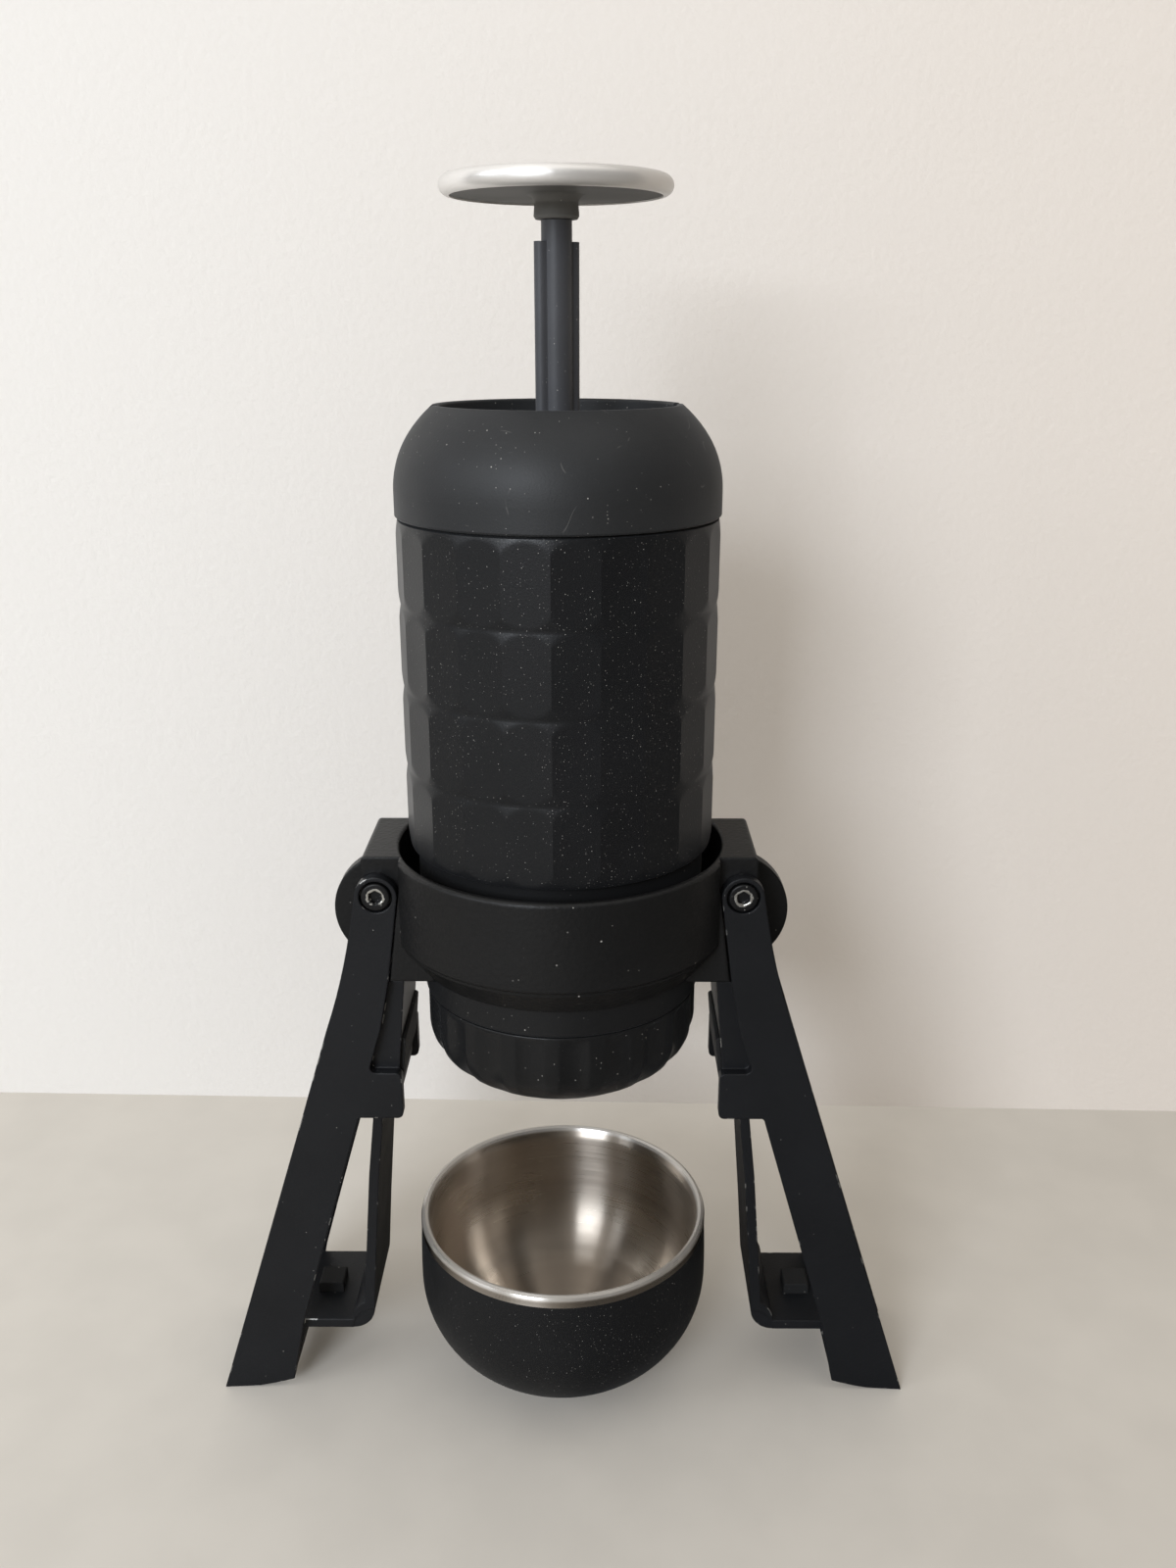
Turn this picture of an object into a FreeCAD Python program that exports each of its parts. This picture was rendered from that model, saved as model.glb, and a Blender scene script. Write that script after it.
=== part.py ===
"""Handheld manual espresso maker on a folding two-leg stand, with its cup.

Frame: millimetres, +Z up, origin on the table under the brewer's axis, front towards -Y.
Every piece is one object of the document, and its sizes come from the sheet "Sizes".
"""
import FreeCAD, Part
import math
import os

import Sketcher
from FreeCAD import Placement, Rotation, Vector

doc = FreeCAD.newDocument("ManualEspressoMaker")
sheet = doc.addObject("Spreadsheet::Sheet", "Sizes")

FULL_TURN = 360.0
X_AXIS, Y_AXIS, Z_AXIS = Vector(1, 0, 0), Vector(0, 1, 0), Vector(0, 0, 1)


# ---------------------------------------------------------------- driving dimensions
class Size(float):
    """A number that remembers the spreadsheet formula it comes from."""

    def __new__(cls, value, formula=None):
        size = super().__new__(cls, value)
        size.formula = formula if formula else f"{float(value):.6f}"
        return size

    def combined(self, sign, other, value, swapped=False):
        left, right = self.formula, formula_of(other)
        if swapped:
            left, right = right, left
        return Size(value, f"({left} {sign} {right})")

    def __add__(self, other):
        return self.combined("+", other, float(self) + float(other))

    def __radd__(self, other):
        return self.combined("+", other, float(other) + float(self), swapped=True)

    def __sub__(self, other):
        return self.combined("-", other, float(self) - float(other))

    def __rsub__(self, other):
        return self.combined("-", other, float(other) - float(self), swapped=True)

    def __mul__(self, other):
        return self.combined("*", other, float(self) * float(other))

    def __rmul__(self, other):
        return self.combined("*", other, float(other) * float(self), swapped=True)

    def __truediv__(self, other):
        return self.combined("/", other, float(self) / float(other))

    def __neg__(self):
        return Size(-float(self), f"(0 - {self.formula})")


def formula_of(number):
    """The spreadsheet formula of a Size, or a plain number as text."""
    return number.formula if isinstance(number, Size) else f"{float(number):.6f}"


def cell(alias, value):
    """Puts one driving dimension into the next row of the sheet and returns it."""
    row = cell.next_row
    cell.next_row += 1
    sheet.set(f"A{row}", alias)
    sheet.set(f"B{row}", str(value))
    sheet.setAlias(f"B{row}", alias)
    return Size(value, f"Sizes.{alias}")


cell.next_row = 1

# clearances
slide_gap = cell("slide_gap", 0.05)          # running fit, per side
clear_gap = cell("clear_gap", 0.3)           # between pieces that move past each other

# plunger
stroke = cell("stroke", 47.0)
knob_radius = cell("knob_radius", 25.5)
knob_bottom = cell("knob_bottom", 305.1)
knob_thickness = cell("knob_thickness", 4.2)
knob_sheet = cell("knob_sheet", 1.4)            # metal above the knob's base
collar_radius = cell("collar_radius", 5.0)
collar_length = cell("collar_length", 4.6)
stem_radius = cell("stem_radius", 3.4)
rib_reach = cell("rib_reach", 5.4)
rib_width = cell("rib_width", 3.0)
rib_angle = cell("rib_angle", 27.0)
rib_top = cell("rib_top", 296.0)
piston_top = cell("piston_top", 240.0)
piston_height = cell("piston_height", 14.0)

# pump
bore_radius = cell("bore_radius", 10.5)
cylinder_wall = cell("cylinder_wall", 1.7)
floor_room = cell("floor_room", 3.5)          # left below the piston at the end of its stroke
cylinder_floor_top = piston_top - piston_height - stroke - floor_room
cylinder_floor = cell("cylinder_floor", 3.0)
nose_radius = cell("nose_radius", 7.0)
nose_bottom = cell("nose_bottom", 163.5)
flange_thickness = cell("flange_thickness", 2.2)
flange_screw_circle = cell("flange_screw_circle", 14.4)
ball_radius = cell("ball_radius", 3.4)
ball_height = cell("ball_height", 156.0)

# top cover
body_radius = cell("body_radius", 37.9)
seam_height = cell("seam_height", 237.2)
cover_shoulder = cell("cover_shoulder", 243.0)
cover_rim_height = cell("cover_rim_height", 261.8)
cover_opening = cell("cover_opening", 27.1)
cover_wall = cell("cover_wall", 2.2)
deck_height = cell("deck_height", 257.8)
well_radius = cell("well_radius", 8.2)
well_floor = cell("well_floor", 252.4)
boss_radius = cell("boss_radius", 17.5)
boss_bottom = cell("boss_bottom", 250.6)
spigot_radius = cell("spigot_radius", 35.3)
spigot_bottom = cell("spigot_bottom", 229.6)
spigot_wall = cell("spigot_wall", 2.3)
seal_height = cell("seal_height", 232.0)
notch_width = cell("notch_width", 3.8)

# faceted body
facet_count = 22
facet_rows = 4
facet_apothem = cell("facet_apothem", 37.4)
facet_phase = cell("facet_phase", 7.0)
facet_valley = cell("facet_valley", 37.43)
facet_crown = cell("facet_crown", 37.86)
facet_row_pitch = cell("facet_row_pitch", 19.6)
facet_row_base = cell("facet_row_base", 158.2)
facet_dip_length = cell("facet_dip_length", 5.4)
facet_curve = cell("facet_curve", 34.1)
body_bottom = cell("body_bottom", 158.0)
body_top = facet_row_base + facet_row_pitch * facet_rows
tank_radius = cell("tank_radius", 34.5)
liner_wall = cell("liner_wall", 0.6)

# brew head, basket and outlet cap
neck_radius = cell("neck_radius", 35.5)
collar_seat_radius = cell("collar_seat_radius", 39.9)
seat_height = cell("seat_height", 137.0)
lower_band_radius = cell("lower_band_radius", 35.0)
cap_top = cell("cap_top", 118.8)
cap_radius = cell("cap_radius", 34.6)
cap_bottom = cell("cap_bottom", 96.6)
cap_curve_top = cell("cap_curve_top", 110.1)
cap_curve_radius = cell("cap_curve_radius", 13.55)
cap_base_radius = cell("cap_base_radius", 19.2)
skirt_radius = cell("skirt_radius", 31.4)
skirt_bottom = cell("skirt_bottom", 110.6)
chamber_radius = cell("chamber_radius", 28.6)
chamber_top = cell("chamber_top", 132.5)
screen_thickness = cell("screen_thickness", 0.8)
flute_count = 20
flute_width = cell("flute_width", 6.7)
flute_depth = cell("flute_depth", 0.8)
flute_phase = cell("flute_phase", 6.4)
basket_rim_top = cell("basket_rim_top", 129.4)
basket_floor = cell("basket_floor", 105.4)
hole_ring_pitch = cell("hole_ring_pitch", 8.0)

# stand
ring_top = cell("ring_top", 156.7)
ring_radius = cell("ring_radius", 42.6)
ring_bore = cell("ring_bore", 40.4)
ring_step = cell("ring_step", 134.0)
ring_lip_bottom = cell("ring_lip_bottom", 127.0)
ring_lip_radius = cell("ring_lip_radius", 36.7)
ring_lip_bore = cell("ring_lip_bore", 35.4)
ear_outer = cell("ear_outer", 48.3)
ear_bottom = cell("ear_bottom", 125.0)
cheek_outer = cell("cheek_outer", 38.7)
knuckle_bottom = cell("knuckle_bottom", 141.0)
knuckle_half = cell("knuckle_half", 13.9)
stop_radius = cell("stop_radius", 15.3)         # round web between the leg's plates
stop_x = cell("stop_x", 42.4)
stop_z = cell("stop_z", 137.8)
stop_thickness = cell("stop_thickness", 4.0)
pivot_x = cell("pivot_x", 44.6)
pivot_z = cell("pivot_z", 147.5)

# legs
plate_inner = cell("plate_inner", 14.2)
plate_thickness = cell("plate_thickness", 3.0)
head_radius = cell("head_radius", 5.2)
foot_reach = cell("foot_reach", 93.5)
pad_thickness = cell("pad_thickness", 1.0)

# hinge hardware, M4
shank_radius = cell("shank_radius", 1.95)
screw_head_radius = cell("screw_head_radius", 3.5)
screw_head_height = cell("screw_head_height", 1.9)
counterbore_radius = cell("counterbore_radius", 4.1)
counterbore_depth = cell("counterbore_depth", 2.0)
hex_key = cell("hex_key", 3.0)
barrel_radius = cell("barrel_radius", 3.0)

# cup
cup_y = cell("cup_y", -2.0)
cup_radius = cell("cup_radius", 39.2)
cup_rim_radius = cell("cup_rim_radius", 38.9)
cup_height = cell("cup_height", 49.6)
cup_base_radius = cell("cup_base_radius", 16.0)
cup_wall = cell("cup_wall", 2.0)
cup_shoulder = cell("cup_shoulder", 31.0)
cup_lip = cell("cup_lip", 46.6)

doc.recompute()


# ---------------------------------------------------------------- modelling helpers
def bind(thing, prop, size):
    """Ties one property of an object to its formula."""
    thing.setExpression(prop, formula_of(size))


def new_body(label):
    """An empty body whose label names the piece."""
    body = doc.addObject("PartDesign::Body", label)
    body.Label = label
    return body


def origin_plane(body, role):
    """The body's own origin plane with this role."""
    return next(plane for plane in body.Origin.OriginFeatures if plane.Role == role)


def arc_between(start, end, radius):
    """A minor arc; a positive radius turns left on the way from start to end."""
    chord = end - start
    half = chord.Length / 2
    side = Vector(-chord.y, chord.x, 0).normalize()
    height = math.sqrt(max(radius * radius - half * half, 0.0))
    centre = (start + end) / 2 + side * math.copysign(height, radius)
    first, last = (start, end) if radius > 0 else (end, start)
    angles = [math.atan2(point.y - centre.y, point.x - centre.x) for point in (first, last)]
    circle = Part.Circle(centre, Z_AXIS, abs(radius))
    return Part.ArcOfCircle(circle, angles[0], angles[1])


def constrain(sketch, kind, numbers, size):
    """Adds a dimension to a sketch and ties it to its formula."""
    index = sketch.addConstraint(Sketcher.Constraint(kind, *numbers, float(size)))
    sketch.setExpression(f"Constraints[{index}]", formula_of(size))


def draw_outline(sketch, vertices):
    """A closed outline: (x, y) ends a straight edge, (x, y, radius) ends an arc."""
    first_edge = sketch.GeometryCount
    count = len(vertices)
    start_codes = []
    for index, vertex in enumerate(vertices):
        following = vertices[(index + 1) % count]
        start = Vector(float(vertex[0]), float(vertex[1]), 0)
        end = Vector(float(following[0]), float(following[1]), 0)
        if len(following) == 3:
            radius = following[2]
            sketch.addGeometry(arc_between(start, end, float(radius)), False)
            start_codes.append(1 if radius > 0 else 2)
        else:
            sketch.addGeometry(Part.LineSegment(start, end), False)
            start_codes.append(1)
    for index, vertex in enumerate(vertices):
        edge, following = first_edge + index, first_edge + (index + 1) % count
        end_code = 3 - start_codes[index]
        next_code = start_codes[(index + 1) % count]
        sketch.addConstraint(Sketcher.Constraint("Coincident", edge, end_code, following, next_code))
        constrain(sketch, "DistanceX", (-1, 1, edge, start_codes[index]), vertex[0])
        constrain(sketch, "DistanceY", (-1, 1, edge, start_codes[index]), vertex[1])
        if len(vertices[(index + 1) % count]) == 3:
            radius = vertices[(index + 1) % count][2]
            constrain(sketch, "Radius", (edge,), radius if radius > 0 else -radius)


def draw_circle(sketch, x, y, radius):
    """A full circle by centre and radius."""
    circle = Part.Circle(Vector(float(x), float(y), 0), Z_AXIS, float(radius))
    edge = sketch.addGeometry(circle, False)
    constrain(sketch, "DistanceX", (-1, 1, edge, 3), x)
    constrain(sketch, "DistanceY", (-1, 1, edge, 3), y)
    constrain(sketch, "Radius", (edge,), radius)


def new_sketch(body, role, outlines=(), circles=(), offset=0.0, turn=0.0):
    """A sketch on one of the body's planes, moved along and turned about the normal."""
    sketch = body.newObject("Sketcher::SketchObject", f"{body.Name}_sketch")
    sketch.AttachmentSupport = [(origin_plane(body, role), "")]
    sketch.MapMode = "FlatFace"
    bind(sketch, ".AttachmentOffset.Base.z", offset)
    sketch.AttachmentOffset = Placement(Vector(0, 0, float(offset)), Rotation(Z_AXIS, float(turn)))
    for outline in outlines:
        draw_outline(sketch, outline)
    for circle in circles:
        draw_circle(sketch, *circle)
    return sketch


def revolve(label, outline):
    """A body made by turning a section (radius, height) about the vertical axis."""
    body = new_body(label)
    turned = body.newObject("PartDesign::Revolution", f"{label}_turned")
    sketch = new_sketch(body, "XZ_Plane", [outline])
    turned.Profile = sketch
    turned.ReferenceAxis = (sketch, ["V_Axis"])
    turned.Angle = FULL_TURN
    body.Tip = turned
    return body


def groove(body, outline):
    """Cuts a turned section out of a body."""
    doc.recompute()
    before = body.Shape.Volume
    sketch = new_sketch(body, "XZ_Plane", [outline])
    cut = body.newObject("PartDesign::Groove", f"{body.Name}_groove")
    cut.Profile = sketch
    cut.ReferenceAxis = (sketch, ["V_Axis"])
    cut.Angle = FULL_TURN
    body.Tip = cut
    return checked_cut(body, cut, before)


def pad(body, sketch, length, centred=False, backwards=False):
    """Pads a sketch by a length, on one side or centred on its plane."""
    feature = body.newObject("PartDesign::Pad", f"{body.Name}_padded")
    feature.Profile = sketch
    feature.Length = float(length)
    bind(feature, "Length", length)
    feature.Midplane = centred
    feature.Reversed = backwards
    body.Tip = feature
    return feature


def pocket(body, sketch, length=None, centred=False, backwards=False):
    """Cuts a sketch out of a body, right through if it has no length."""
    doc.recompute()
    before = body.Shape.Volume
    feature = body.newObject("PartDesign::Pocket", f"{body.Name}_pocket")
    feature.Profile = sketch
    if length is None:
        feature.Type = "ThroughAll"
    else:
        feature.Length = float(length)
        bind(feature, "Length", length)
    feature.Midplane = centred
    feature.Reversed = backwards
    body.Tip = feature
    return checked_cut(body, feature, before)


def checked_cut(body, feature, before):
    """Returns the cut after proving that it took something away."""
    doc.recompute()
    if body.Shape.Volume >= before - 1e-3:
        raise RuntimeError(f"{feature.Label} cuts nothing out of {body.Label}")
    return feature


def polar(body, feature, count):
    """Repeats a feature evenly about the vertical axis."""
    pattern = body.newObject("PartDesign::PolarPattern", f"{feature.Name}_ring")
    pattern.Originals = [feature]
    pattern.Axis = (feature.Profile[0], ["N_Axis"])
    pattern.Angle = FULL_TURN
    pattern.Occurrences = count
    body.Tip = pattern
    return pattern


def polar_copies(label, source, count, first_angle=0.0):
    """Copies of a shape, evenly turned about the vertical axis, as separate solids."""
    doc.recompute()
    turns = [first_angle + FULL_TURN * index / count for index in range(count)]
    return group(label, [turned_copy(source.Shape, angle) for angle in turns])


def turned_copy(shape, angle):
    """A shape turned about the vertical axis."""
    copy = shape.copy()
    copy.rotate(Vector(), Z_AXIS, float(angle))
    return copy


def group(label, shapes):
    """Several separate solids kept as one piece of the parts list."""
    feature = doc.addObject("Part::Feature", label)
    feature.Label = label
    feature.Shape = Part.makeCompound(shapes)
    return feature


def cut_of(label, base, tool):
    """One object cut out of another."""
    result = doc.addObject("Part::Cut", label)
    result.Label = label
    result.Base = base
    result.Tool = tool
    return result


def mirrored(label, source):
    """The same piece on the other side of the YZ plane."""
    result = doc.addObject("Part::Mirroring", label)
    result.Label = label
    result.Source = source
    result.Normal = X_AXIS
    return result


def torus(label, height, major, minor):
    """A ring of round section about the vertical axis."""
    ring = doc.addObject("Part::Torus", label)
    ring.Label = label
    bind(ring, "Radius1", major)
    bind(ring, "Radius2", minor)
    bind(ring, ".Placement.Base.z", height)
    return ring


def ring_of_holes(body, radius, hole_radius, count, height):
    """Holes along the vertical axis on a circle, cut through the whole body."""
    sketch = new_sketch(body, "XY_Plane", circles=[(radius, 0.0, hole_radius)], offset=height)
    hole = pocket(body, sketch, None, centred=True)
    return polar(body, hole, count)


# ---------------------------------------------------------------- plunger
def knob_cap():
    """Aluminium disc of the knob, its rim rolled over the edge of the base."""
    edge = knob_thickness / 2
    flat = knob_radius - edge
    top = knob_bottom + knob_thickness
    recess = top - knob_sheet
    lip = flat - 0.2
    return revolve("knob_cap", [
        (0, recess), (lip, recess), (lip, knob_bottom), (flat, knob_bottom),
        (knob_radius, knob_bottom + edge, edge), (flat, top, edge), (0, top)])


def knob_base():
    """Black underside of the knob with the flared collar that takes the stem."""
    plate_top = knob_bottom + knob_thickness - knob_sheet
    plate_bottom = knob_bottom + 0.3
    plate_radius = knob_radius - knob_thickness / 2 - 0.3
    collar_bottom = knob_bottom - collar_length
    socket = 2.25
    return revolve("knob_base", [
        (0, plate_top), (0, plate_top - 1.0), (socket, plate_top - 1.0), (socket, collar_bottom),
        (collar_radius - 0.4, collar_bottom), (collar_radius, collar_bottom + 0.6),
        (collar_radius - 0.2, plate_bottom - 1.6), (collar_radius + 1.6, plate_bottom, -1.9),
        (plate_radius, plate_bottom), (plate_radius, plate_top)])


def plunger_stem():
    """Round stem with a long key rib on each side, and a spigot for the piston."""
    tenon = 2.2
    spigot = 2.5
    shoulder = knob_bottom - collar_length
    body = revolve("plunger_stem", [
        (0, shoulder + 6.0), (0, piston_top - piston_height + 0.6),
        (spigot, piston_top - piston_height + 0.6), (spigot, piston_top), (stem_radius, piston_top),
        (stem_radius, shoulder), (tenon, shoulder), (tenon, shoulder + 6.0)])
    half = rib_width / 2
    end = rib_reach - half
    rib = [(-end, half), (-end, -half, half * 1.0001), (end, -half), (end, half, half * 1.0001)]
    sketch = new_sketch(body, "XY_Plane", [rib], offset=piston_top, turn=rib_angle)
    pad(body, sketch, rib_top - piston_top)
    return body


def piston():
    """Piston with two ring grooves, screwed to the stem's spigot."""
    bottom = piston_top - piston_height
    outer = bore_radius - clear_gap
    groove_floor = outer - 2.0
    inner = 2.55
    return revolve("piston", [
        (inner, bottom), (outer - 0.8, bottom), (outer, bottom + 0.8), (outer, bottom + 2.2),
        (groove_floor, bottom + 2.2), (groove_floor, bottom + 4.8), (outer, bottom + 4.8),
        (outer, piston_top - 4.8), (groove_floor, piston_top - 4.8),
        (groove_floor, piston_top - 2.2), (outer, piston_top - 2.2), (outer, piston_top - 0.6),
        (outer - 0.6, piston_top), (inner, piston_top)])


def piston_seals():
    """The two sealing rings of the piston, which run in the pump bore."""
    minor = Size(1.1)
    major = bore_radius - slide_gap - minor
    heights = [piston_top - piston_height + 3.5, piston_top - 3.5]
    rings = [torus(f"seal_ring_{index}", height, major, minor) for index, height in enumerate(heights)]
    doc.recompute()
    return group("piston_seals", [ring.Shape for ring in rings])


def piston_screw():
    """Pan-head screw that holds the piston on the stem."""
    bottom = piston_top - piston_height
    return revolve("piston_screw", [
        (0, bottom + 0.6), (0, bottom - 1.0), (1.2, bottom - 1.0), (1.2, bottom - 1.9),
        (3.6, bottom - 1.9, 5.0), (4.4, bottom - 1.0, 1.4), (4.4, bottom), (2.4, bottom),
        (2.4, bottom + 0.6)])


# ---------------------------------------------------------------- top cover and pump
def dome_cover():
    """Domed cover: rim, sunk deck for the knob, stem well and spigot."""
    deck_bottom = deck_height - cover_wall
    rim_outer = cover_opening + 1.3
    rim_curve, side_curve = 29.8, 22.5
    cheek_x = 33.9
    cheek_z = cover_rim_height - 6.0
    bush_radius = 6.6
    spigot_inner = spigot_radius - spigot_wall
    groove_floor = spigot_radius - 1.25
    groove_half = 0.9
    body = revolve("dome_cover", [
        (bush_radius, boss_bottom), (bush_radius, well_floor), (well_radius, well_floor),
        (well_radius, deck_height),
        (cover_opening, deck_height), (cover_opening, cover_rim_height - 0.6),
        (cover_opening + 0.6, cover_rim_height, -0.6), (rim_outer, cover_rim_height),
        (cheek_x, cheek_z, -rim_curve), (body_radius, cover_shoulder, -side_curve),
        (body_radius, seam_height + 0.4), (body_radius - 0.4, seam_height),
        (spigot_radius, seam_height), (spigot_radius, seal_height + groove_half),
        (groove_floor, seal_height + groove_half), (groove_floor, seal_height - groove_half),
        (spigot_radius, seal_height - groove_half), (spigot_radius, spigot_bottom),
        (spigot_inner, spigot_bottom), (spigot_inner, cover_shoulder),
        (31.2, deck_bottom - 2.2, 18.0), (29.0, deck_bottom), (boss_radius, deck_bottom),
        (boss_radius, boss_bottom)])
    near, far, half = cover_opening - 1.0, rim_outer + 0.6, notch_width / 2
    notch = [(near, -half), (far, -half), (far, half), (near, half)]
    sketch = new_sketch(body, "XY_Plane", [notch], offset=cover_rim_height, turn=188.0)
    slot = pocket(body, sketch, 1.2)
    polar(body, slot, 2)
    return body


def stem_bush():
    """Flanged guide in the well, with a keyway for each rib of the stem."""
    flange_top = well_floor + 0.8
    bottom = boss_bottom - 5.6
    outer = 6.55
    flange = well_radius - clear_gap
    body = revolve("stem_bush", [
        (stem_radius + slide_gap, flange_top), (stem_radius + slide_gap, bottom), (outer, bottom),
        (outer, well_floor), (flange, well_floor), (flange, flange_top - 0.2),
        (flange - 0.2, flange_top)])
    half = rib_width / 2 + 0.15
    reach = rib_reach + 0.15
    keyway = [(-reach, -half), (reach, -half), (reach, half), (-reach, half)]
    sketch = new_sketch(body, "XY_Plane", [keyway], offset=flange_top, turn=rib_angle)
    pocket(body, sketch, flange_top - bottom + 0.4)
    return body


def pump_cylinder():
    """Pump barrel with a screw flange, a floor with inlet holes and an outlet nose."""
    outer = bore_radius + cylinder_wall
    flange_bottom = boss_bottom - flange_thickness
    flange_radius = 16.5
    outlet = 2.5
    floor_bottom = cylinder_floor_top - cylinder_floor
    body = revolve("pump_cylinder", [
        (outlet, cylinder_floor_top), (bore_radius, cylinder_floor_top), (bore_radius, boss_bottom),
        (flange_radius, boss_bottom), (flange_radius, flange_bottom), (outer + 0.4, flange_bottom),
        (outer, flange_bottom - 0.4, 0.4), (outer, floor_bottom + 1.0), (outer - 1.0, floor_bottom),
        (nose_radius, floor_bottom), (nose_radius, nose_bottom + 0.6), (nose_radius - 0.6, nose_bottom),
        (outlet, nose_bottom)])
    ring_of_holes(body, 9.4, 0.8, 6, cylinder_floor_top)
    ring_of_holes(body, flange_screw_circle, 1.2, 3, boss_bottom)
    return body


def cylinder_screws():
    """Three pan-head screws that fasten the pump barrel under the cover."""
    seat = boss_bottom - flange_thickness
    head, shank = 1.5, 2.6
    overlap = 0.5
    screw = new_body("cylinder_screw_source")
    circles = [(flange_screw_circle, 0.0, 1.8)]
    pad(screw, new_sketch(screw, "XY_Plane", circles=circles, offset=seat - head), Size(head))
    circles = [(flange_screw_circle, 0.0, 1.15)]
    pad(screw, new_sketch(screw, "XY_Plane", circles=circles, offset=seat - overlap), Size(shank))
    return polar_copies("cylinder_screws", screw, 3)


def inlet_flap():
    """Soft ring that covers the inlet holes on the pressure stroke."""
    return revolve("inlet_flap", [
        (6.2, cylinder_floor_top), (bore_radius - 0.2, cylinder_floor_top),
        (bore_radius - 0.2, cylinder_floor_top + 0.5), (6.2, cylinder_floor_top + 0.8)])


def cover_seal():
    """Sealing ring between the cover's spigot and the body."""
    minor = Size(0.75)
    bore = spigot_radius + clear_gap
    return torus("cover_seal", seal_height, bore - slide_gap - minor, minor)


# ---------------------------------------------------------------- faceted body and tank
def body_shell():
    """Outer shell: a turned barrel of four bulging rows, cut to flats by a prism."""
    bore = spigot_radius + clear_gap
    lining = tank_radius + 0.1
    foot_bore = 33.6
    ledge, foot = spigot_bottom - 0.4, body_bottom + 3.0
    outline = [(bore, body_top), (bore, ledge), (lining, ledge), (lining, foot), (foot_bore, foot),
               (foot_bore, body_bottom), (facet_valley - 0.2, body_bottom), (facet_valley, facet_row_base)]
    for row in range(facet_rows):
        bottom = facet_row_base + facet_row_pitch * row
        top = bottom + facet_row_pitch
        outline += [(facet_crown, bottom + facet_dip_length, facet_curve),
                    (facet_crown, top - facet_dip_length), (facet_valley, top, facet_curve)]
    barrel = revolve("body_barrel", outline)
    prism = doc.addObject("Part::Prism", "body_prism")
    prism.Polygon = facet_count
    bind(prism, "Circumradius", facet_apothem / math.cos(math.pi / facet_count))
    bind(prism, "Height", body_top - body_bottom + 2.0)
    prism.Placement = Placement(Vector(0, 0, body_bottom - 1.0), Rotation(Z_AXIS, facet_phase))
    shell = doc.addObject("Part::Common", "body_shell")
    shell.Label = "body_shell"
    shell.Base = barrel
    shell.Tool = prism
    return shell


def tank_liner():
    """Thin steel sleeve that lines the water tank."""
    bottom = body_bottom + 3.0
    top = spigot_bottom - 0.6
    inner = tank_radius - liner_wall
    return revolve("tank_liner", [
        (inner, bottom), (tank_radius, bottom), (tank_radius, top - 0.3), (tank_radius - 0.3, top),
        (inner, top)])


def brew_head():
    """Head that closes the tank, seats in the ring and carries valve, screen and cap."""
    seat = seat_height + clear_gap
    band_bottom = cap_top + 0.3
    socket = nose_radius + slide_gap
    step = nose_bottom - clear_gap
    return revolve("brew_head", [
        (socket, 172.0), (socket, step), (5.2, step), (5.2, ball_height + 2.5),
        (4.4, ball_height + 2.5), (4.4, 148.0), (1.6, 148.0), (1.6, chamber_top + 2.5),
        (chamber_radius - 2.1, chamber_top), (chamber_radius, chamber_top),
        (chamber_radius, skirt_bottom), (skirt_radius, skirt_bottom), (skirt_radius, band_bottom),
        (lower_band_radius - 0.5, band_bottom), (lower_band_radius, band_bottom + 0.5),
        (lower_band_radius, seat), (collar_seat_radius, seat), (collar_seat_radius, seat + 2.6),
        (collar_seat_radius - 0.8, seat + 3.4), (neck_radius + 1.2, seat + 3.4),
        (neck_radius, seat + 4.6, -1.2), (neck_radius, body_bottom - 0.1), (33.5, body_bottom - 0.1),
        (33.5, body_bottom + 4.5), (32.0, body_bottom + 4.5), (32.0, seat + 7.0),
        (28.0, seat + 3.0, -4.0), (10.0, seat + 3.0), (8.7, seat + 6.0, -4.2), (8.7, 171.6),
        (8.3, 172.0)])


def valve_seat():
    """Seat ring of the outlet check valve, coned below for the ball."""
    bottom = ball_height + 2.5
    top = nose_bottom - clear_gap
    return revolve("valve_seat", [
        (2.4, bottom), (5.2, bottom), (5.2, top), (3.0, top), (2.4, top - 0.6)])


def valve_ball():
    """Steel ball of the outlet check valve."""
    ball = doc.addObject("Part::Sphere", "valve_ball")
    ball.Label = "valve_ball"
    bind(ball, "Radius", ball_radius)
    bind(ball, ".Placement.Base.z", ball_height)
    return ball


def valve_spring():
    """Coil spring that holds the ball against its seat."""
    wire = Size(0.3)
    coil = doc.addObject("Part::Helix", "valve_spring_path")
    bind(coil, "Radius", Size(2.5))
    bind(coil, "Pitch", Size(1.5))
    bind(coil, "Height", Size(4.5))
    bind(coil, ".Placement.Base.z", Size(148.35))
    section = doc.addObject("Part::Circle", "valve_spring_section")
    bind(section, "Radius", wire)
    section.Placement = Placement(Vector(2.5, 0, 148.35), Rotation(X_AXIS, 90))
    spring = doc.addObject("Part::Sweep", "valve_spring")
    spring.Label = "valve_spring"
    spring.Sections = [section]
    spring.Spine = (coil, [])
    spring.Solid = True
    spring.Frenet = True
    return spring


# ---------------------------------------------------------------- coffee chamber
def shower_screen():
    """Perforated disc that spreads the water over the coffee."""
    body = revolve("shower_screen", [
        (0, chamber_top - screen_thickness), (chamber_radius - 0.1, chamber_top - screen_thickness),
        (chamber_radius - 0.1, chamber_top), (0, chamber_top)])
    ring_of_holes(body, hole_ring_pitch, 1.0, 6, chamber_top)
    ring_of_holes(body, hole_ring_pitch * 2.4, 1.0, 12, chamber_top)
    return body


def basket_gasket():
    """Flat silicone ring between the screen and the basket's rim."""
    top = chamber_top - screen_thickness
    return revolve("basket_gasket", [
        (chamber_radius - 2.6, basket_rim_top + 0.3), (chamber_radius - 0.1, basket_rim_top + 0.3),
        (chamber_radius - 0.1, top), (chamber_radius - 2.6, top)])


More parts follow.
